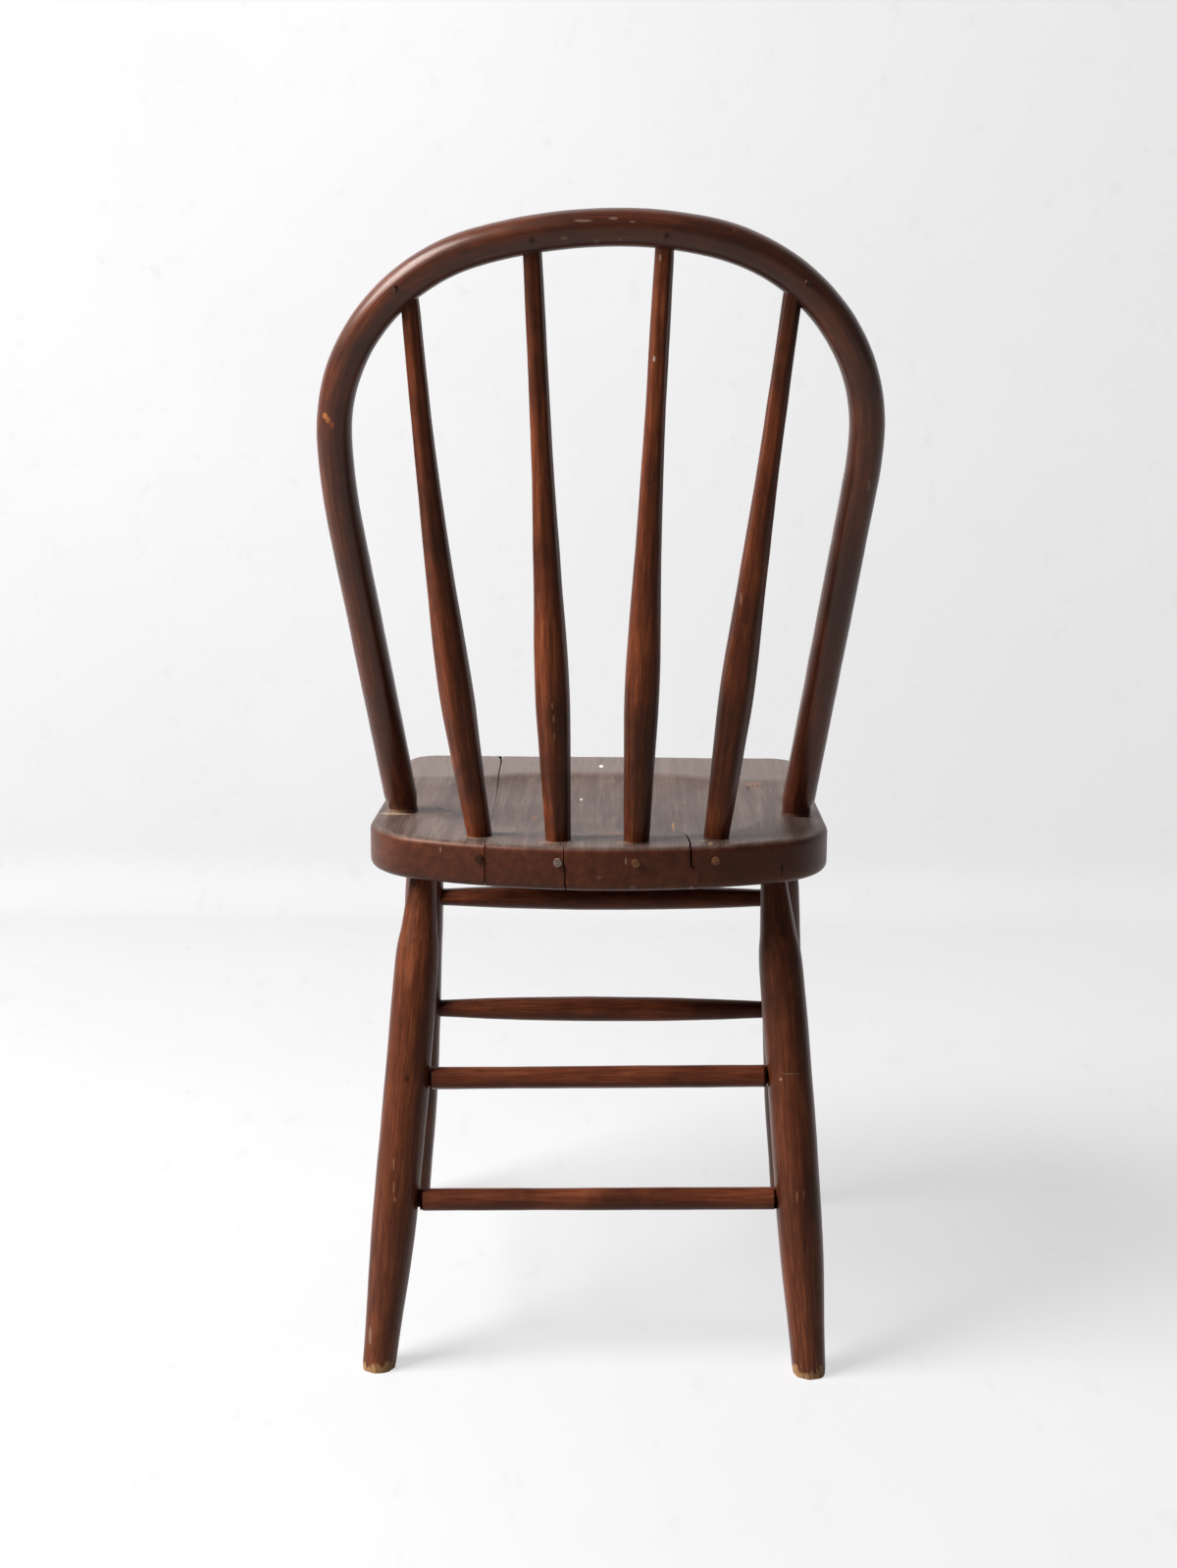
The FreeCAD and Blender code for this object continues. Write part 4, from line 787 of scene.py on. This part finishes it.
def dish_share(x, y):
    """How far a place is from the dish's flat bottom, 0, to its edge and the rim, 1."""
    across, along = abs(x) / DISH_HALF_WIDTH, abs(y - DISH_MIDDLE) / DISH_HALF_DEPTH
    reach = (across ** 3.0 + along ** 3.0) ** (1 / 3.0)
    return min(max((reach - 0.45) / 0.55, 0.0), 1.0)


def seat_height(x, y):
    """Height of the top: a flat rim and a carved dish with a crisp front edge, all worn."""
    front = min(max((DISH_MIDDLE - y) / DISH_HALF_DEPTH, 0.0), 1.0) ** 2
    sink = DISH_SINK * (1 - dish_share(x, y) ** (2.1 + 2.6 * front))
    soft = noise.noise(Vector((x, y, 0)) * 0.012) * 0.35
    ripple = noise.noise(Vector((x * 0.09, y * 0.006, 3.0))) * 0.16
    return SEAT_TOP - 0.35 - sink + soft + ripple


# The glued joint has opened from here to the front, most at its worn corner, and at its rear end
JOINT_SHUT = -5.0
JOINT_OPEN = 1.5
CORNER_OPEN = 4.6
CORNER_WORN = 26.0
REAR_OPEN = 0.8
REAR_WORN = 138.0

# Cracks from the rear edge: where each opens, points of its path inward, and at heights of the
# edge how far it leans and how wide it gapes
CRACKS = [
    {"mouth": 25.2, "path": [(25.6, 160), (25.2, 152)],
     "lean": [(397, -1.4), (404, -0.6), (409, -1.2), (418, 0.2), (432, 0.6)],
     "open": [(397, 1.5), (410, 1), (424, 0.8), (432, 0.45)]},
    {"mouth": -73, "path": [(-72.6, 151), (-72, 143), (-71, 128), (-69.9, 112),
                              (-66.6, 96), (-62.4, 80)],
     "lean": [(397, -5.6), (411.8, -5.4), (415.8, 0), (432, 0)],
     "open": [(397, 0.08), (407, 0.15), (410, 1.2), (416, 1.5), (432, 1.7)]},
    {"mouth": -144.8, "path": [(-144.6, 126)],
     "lean": [(397, 0), (432, 0)],
     "open": [(397, 0), (403, 0), (406, 0.9), (412, 0.8), (414, 0), (432, 0)]},
]


def read_table(table, value):
    """Reads a table of (place, value) pairs with straight lines between them."""
    for (low, first), (high, second) in zip(table, table[1:]):
        if value <= high:
            share = min(max((value - low) / (high - low), 0.0), 1.0)
            return first + (second - first) * share
    return table[-1][1]


def seat_outline(gap=2.0):
    """The seat's outline from above, evenly spaced, each point with its outward normal."""
    corners = [vertex.co.xy / MM for node in ("seat_board_wide", "seat_board_narrow")
               for vertex in cad_nodes[node].data.vertices]
    loop = [corners[i] for i in geometry.convex_hull_2d(corners)]
    if sum(a.cross(b) for a, b in zip(loop, loop[1:] + loop[:1])) < 0:
        loop.reverse()
    runs = [(b - a).length for a, b in zip(loop, loop[1:] + loop[:1])]
    count = int(sum(runs) / gap)
    points, index, done = [], 0, 0.0
    for step in range(count):
        target = sum(runs) * step / count
        while done + runs[index] < target:
            done += runs[index]
            index += 1
        share = (target - done) / runs[index]
        points.append(loop[index].lerp(loop[(index + 1) % len(loop)], share))
    outline = []
    for i, point in enumerate(points):
        run = points[(i + 2) % count] - points[i - 2]
        outline.append((point, Vector((run.y, -run.x)).normalized()))
    return outline


def cut_crack(rim, crack):
    """Cuts a crack into a board's rim: in along its +x side, round its tip and out again."""
    near = [(point, normal) for point, normal, _, cut, _ in rim
            if cut is None and point.y > 60 and abs(point.x - crack["mouth"]) < 1.2]
    if not near:
        return rim
    point, normal = near[0]
    step = (crack["mouth"] - point.x) * -normal.x / normal.y
    mouth = Vector((crack["mouth"], point.y + step))
    path = [mouth, mouth - normal * 1.5, mouth - normal * 4.5] + [Vector(p) for p in crack["path"]]
    sides = {side: [(p, normal, (p - mouth).length, crack, side) for p in path[:-1]] for side in (-1, 1)}
    tip = (path[-1], normal, (path[-1] - mouth).length, crack, 0)
    kept = [entry for entry in rim
            if entry[3] is not None or (entry[0] - mouth).length > 1.3 or entry[0].y < 60]
    place = next(i for i, (p, _, _, cut, _) in enumerate(kept)
                 if cut is None and p.y > 60 and p.x < crack["mouth"])
    return kept[:place] + sides[1] + [tip] + sides[-1][::-1] + kept[place:]


def board_rim(outline, narrow):
    """A board's rim: places, outward normals, depths behind the outline, cuts and their sides."""
    sign = 1 if narrow else -1
    inside = [sign * (point.x - glue_line(point.y)) > 0 for point, _ in outline]
    count = len(outline)
    first = next(i for i in range(count) if inside[i] and not inside[i - 1])
    rim = []
    for step in range(count):
        point, normal = outline[(first + step) % count]
        if not inside[(first + step) % count]:
            break
        rim.append((point, normal, 0.0, None, 0))
    for crack in CRACKS:
        rim = cut_crack(rim, crack)
    # the glued edge closes the rim
    start, stop = rim[-1][0].y, rim[0][0].y
    steps = int(abs(stop - start) / 3.0)
    for step in range(steps + 1):
        y = start + (stop - start) * step / steps
        near_front = abs(y - min(start, stop)) < abs(y - max(start, stop))
        normal = Vector((0, -1)) if near_front else Vector((0.29, 0.957))
        depth = min(abs(y - start), abs(y - stop))
        rim.append((Vector((glue_line(y), y)), normal, depth, "glue", -sign))
    return rim


def lay_point(entry, share, inset, narrow):
    """Where a rim point lies at a level: rounded edges, the opened joint and leaning cracks."""
    point, normal, depth, cut, side = entry
    z = SEAT_UNDER + SEAT_THICK * share
    place = point - normal * max(0.0, inset - depth)
    if cut == "glue":
        gap = 0.04 + 0.06 * (inset / 5.0) ** 2
        if narrow:
            front = min(max((JOINT_SHUT - point.y) / 210.0, 0.0), 1.0)
            gap += JOINT_OPEN * front ** 1.3
            gap += 0.3 * noise.noise(Vector((0, point.y * 0.08, z * 0.05))) * front
            if point.y < 0:
                gap += CORNER_OPEN * max(0.0, 1 - depth / CORNER_WORN) ** 1.7
            gap += max(0.0, (point.y - REAR_WORN) / 16.0) * REAR_OPEN
        place = place + Vector((gap if narrow else -gap, 0))
    elif cut:
        length = max((Vector((cut["mouth"], SEAT_BACK)) - Vector(cut["path"][-1])).length - 2, 4)
        reach = max((length - depth) / length, 0.0)
        wiggle = 0.35 * noise.noise(Vector((cut["mouth"], place.y * 0.12, z * 0.1)))
        lean = read_table(cut["lean"], z) * max(0.0, 1 - depth / 30.0)
        half = read_table(cut["open"], z) / 2
        place = place + Vector((lean + wiggle * min(1.0, reach * 4) + side * half * reach ** 0.6, 0))
    return place, z


def make_board(name, node, narrow):
    """A seat board: rounded rim, a dished top and a flat underside."""
    rim = board_rim(seat_outline(), narrow)
    count = len(rim)
    vertices = []
    # levels of the edge, each a share of its height, an inset and a drop from the dished top:
    # the underside's radius, the upright part, and the top's radius
    levels = []
    for angle in (math.radians(18.0 * step) for step in range(5)):
        levels.append((ROUND_UNDER * (1 - math.cos(angle)) / SEAT_THICK,
                       ROUND_UNDER * (1 - math.sin(angle)), None))
    levels += [(share, 0.0, None) for share in (0.22, 0.32, 0.42, 0.47, 0.52, 0.57, 0.64, 0.74)]
    for angle in (math.radians(15.0 * step) for step in range(7)):
        drop = ROUND_TOP * (1 - math.sin(angle))
        levels.append((1.0 - drop / SEAT_THICK, ROUND_TOP * (1 - math.cos(angle)), drop))
    for share, inset, drop in levels:
        for entry in rim:
            place, z = lay_point(entry, share, inset, narrow)
            z = z if drop is None else seat_height(place.x, place.y) - drop
            vertices.append((place.x, place.y, z))
    rows = len(vertices) // count
    faces = []
    for low in range(0, (rows - 1) * count, count):
        for i in range(count):
            j = (i + 1) % count
            faces.append((low + i, low + j, low + count + j, low + count + i))
    # the two flat sides are filled with triangles, the top's fine enough for its dish
    for first, dished in ((0, False), ((rows - 1) * count, True)):
        loop = [Vector(vertices[first + i][:2]) for i in range(count)]
        inner = []
        if dished:
            finder = kdtree.KDTree(count)
            for i, point in enumerate(loop):
                finder.insert(point.to_3d(), i)
            finder.balance()
            for column in range(162):
                for line in range(134):
                    spot = Vector((-210 + column * 2.6, -230 + (line + 0.5 * (column % 2)) * 3.0))
                    # a point too near the rim makes thin triangles
                    if finder.find(spot.to_3d())[2] > 1.3:
                        inner.append(spot)
        filled = geometry.delaunay_2d_cdt(loop + inner, [], [list(range(count))], 1, 1e-5)
        spots, triangles, origins = filled[0], filled[2], filled[3]
        names = []
        for spot, origin in zip(spots, origins):
            if origin and origin[0] < count:
                names.append(first + origin[0])
            else:
                names.append(len(vertices))
                vertices.append((spot.x, spot.y, seat_height(spot.x, spot.y) if dished else SEAT_UNDER))
        faces += [tuple(names[i] for i in triangle) for triangle in triangles]
    board = new_piece(name, vertices, [], faces)
    shape = bmesh.new()
    shape.from_mesh(board.data)
    bmesh.ops.remove_doubles(shape, verts=shape.verts, dist=0.02 * MM)
    bmesh.ops.delete(shape, geom=[v for v in shape.verts if not v.link_faces], context="VERTS")
    bmesh.ops.recalc_face_normals(shape, faces=shape.faces)
    # how much painted sheen the flat rim gets, strongest at the front
    rim_sheen_share = shape.verts.layers.float.new("rim")
    for vertex in shape.verts:
        front = min(max((-vertex.co.y / MM - 40.0) / 80.0, 0.0), 1.0)
        share = dish_share(vertex.co.x / MM, vertex.co.y / MM)
        vertex[rim_sheen_share] = share * (0.5 + 0.5 * front)
    for face in shape.faces:
        face.smooth = True
    shape.to_mesh(board.data)
    shape.free()
    board.data.set_sharp_from_angle(angle=math.radians(45))
    board.data.materials.append(SEAT_ELM)
    dress(board, node)


make_board("seat_wide_board", "seat_board_wide", narrow=False)
make_board("seat_narrow_board", "seat_board_narrow", narrow=True)

# the wedges keep their CAD shape
for node_name in ("bow_wedge_left", "bow_wedge_right"):
    cad_nodes[node_name].data.materials.clear()
    cad_nodes[node_name].data.materials.append(DARK_ENDS)


# Floor, wall, light and camera


def level_where_seen(add, seen, else_level):
    """A strength that is higher where the room is seen, mirrored or looked at through glass."""
    ray = add("ShaderNodeLightPath").outputs
    looks = add("ShaderNodeMath", {0: ray["Is Camera Ray"], 1: ray["Is Glossy Ray"]}, operation="ADD")
    looks = add("ShaderNodeMath", {0: looks, 1: ray["Is Transmission Ray"]}, operation="ADD")
    return add("ShaderNodeMath", {0: looks, 1: seen, 2: else_level}, operation="MULTIPLY_ADD")


def matt_paint(name):
    """Matt white paint on floor and wall: even, a little cloudy, and shown as white paper.

    The paint itself is a mid tone, so that it throws little light back on the chair. It is
    clear from its back, so that the chair shows from the wall's side too.
    """
    material, add = start_material(name)
    room = add("ShaderNodeTexCoord").outputs["Object"]
    clouds = pattern(add, room, (1.3, 1.3, 1.3), 4.0, 0.6)
    colour = add("ShaderNodeValToRGB", {"Fac": clouds}, stops=[(0.35, "#898887"), (0.65, "#918f8f")])
    # scuffs and dirt 20 to 60 mm across, brushed one way
    dirt = pattern(add, room, (26, 9, 26), 5.0, 0.7)
    colour = lay_over(add, colour, dirt, 0.56, 0.75, "#6f6c6a", 0.4)
    paint = add("ShaderNodeBsdfPrincipled", {"Base Color": colour, "Roughness": 0.8})
    glow = add("ShaderNodeEmission", {"Color": "#fefeff", "Strength": level_where_seen(add, 0.61, 0.0)})
    sheet = add("ShaderNodeAddShader", {0: paint, 1: glow})
    back = add("ShaderNodeNewGeometry").outputs["Backfacing"]
    clear = add("ShaderNodeBsdfTransparent")
    one_sided = add("ShaderNodeMixShader", {0: back, 1: sheet, 2: clear})
    add("ShaderNodeOutputMaterial", {"Surface": one_sided})
    return material


HALF_ROOM = 5000.0


def make_sheet(name, profile, paint):
    """A sheet as wide as the room that follows a profile of (y, z) points."""
    vertices = [(x, y, z) for x in (-HALF_ROOM, HALF_ROOM) for y, z in profile]
    count = len(profile)
    faces = [(i, i + 1, count + i + 1, count + i) for i in range(count - 1)]
    sheet = new_piece(name, vertices, [], faces)
    for face in sheet.data.polygons:
        face.use_smooth = True
    sheet.data.materials.append(paint)


# the wall curves into the floor, and ends a hair above it
MATT_WHITE = matt_paint("matt_white_paint")
WALL, COVE, HAIR = -1320.0, 80.0, 0.4
cove = [(WALL + COVE * (1 - math.sin(turn)), HAIR + COVE * (1 - math.cos(turn)))
        for turn in (math.radians(degrees) for degrees in range(0, 91, 10))]
make_sheet("studio_floor", [(HALF_ROOM, 0.0), (-HALF_ROOM, 0.0)], MATT_WHITE)
make_sheet("studio_wall", cove + [(WALL, 3500.0)], MATT_WHITE)

window = bpy.data.lights.new("window", "AREA")
window.size = 1.4
window.energy = 134.0
window_place = Vector((1.79, 0.74, 2.1))
facing_chair = (Vector((0.0, 0.0, 0.45)) - window_place).to_track_quat("-Z", "Y")
new_object("window", window).matrix_world = (
    Matrix.Translation(window_place) @ facing_chair.to_matrix().to_4x4())

# the room beyond, dim to the chair, and a plain grey where it is seen or mirrored
scene.world = bpy.data.worlds.new("studio")
add_to_world = start_nodes(scene.world)
room_light = add_to_world("ShaderNodeBackground", {
    "Color": "#f4f6fa", "Strength": level_where_seen(add_to_world, 0.24, 0.04)})
add_to_world("ShaderNodeOutputWorld", {"Surface": room_light})

# a 52 mm lens on 36 mm of height, at the photograph's place and tilt
lens = bpy.data.cameras.new("photo_camera")
lens.sensor_fit = "VERTICAL"
lens.sensor_height = 36.0
lens.lens = 52.0
scene.camera = new_object("photo_camera", lens)
place = Matrix.Translation((-0.02628, 1.86335, 0.82314))
for degrees, axis in ((181.11, "Z"), (78.63, "X"), (0.32, "Z")):
    place @= Matrix.Rotation(math.radians(degrees), 4, axis)
scene.camera.matrix_world = place

scene.view_settings.view_transform = "Standard"
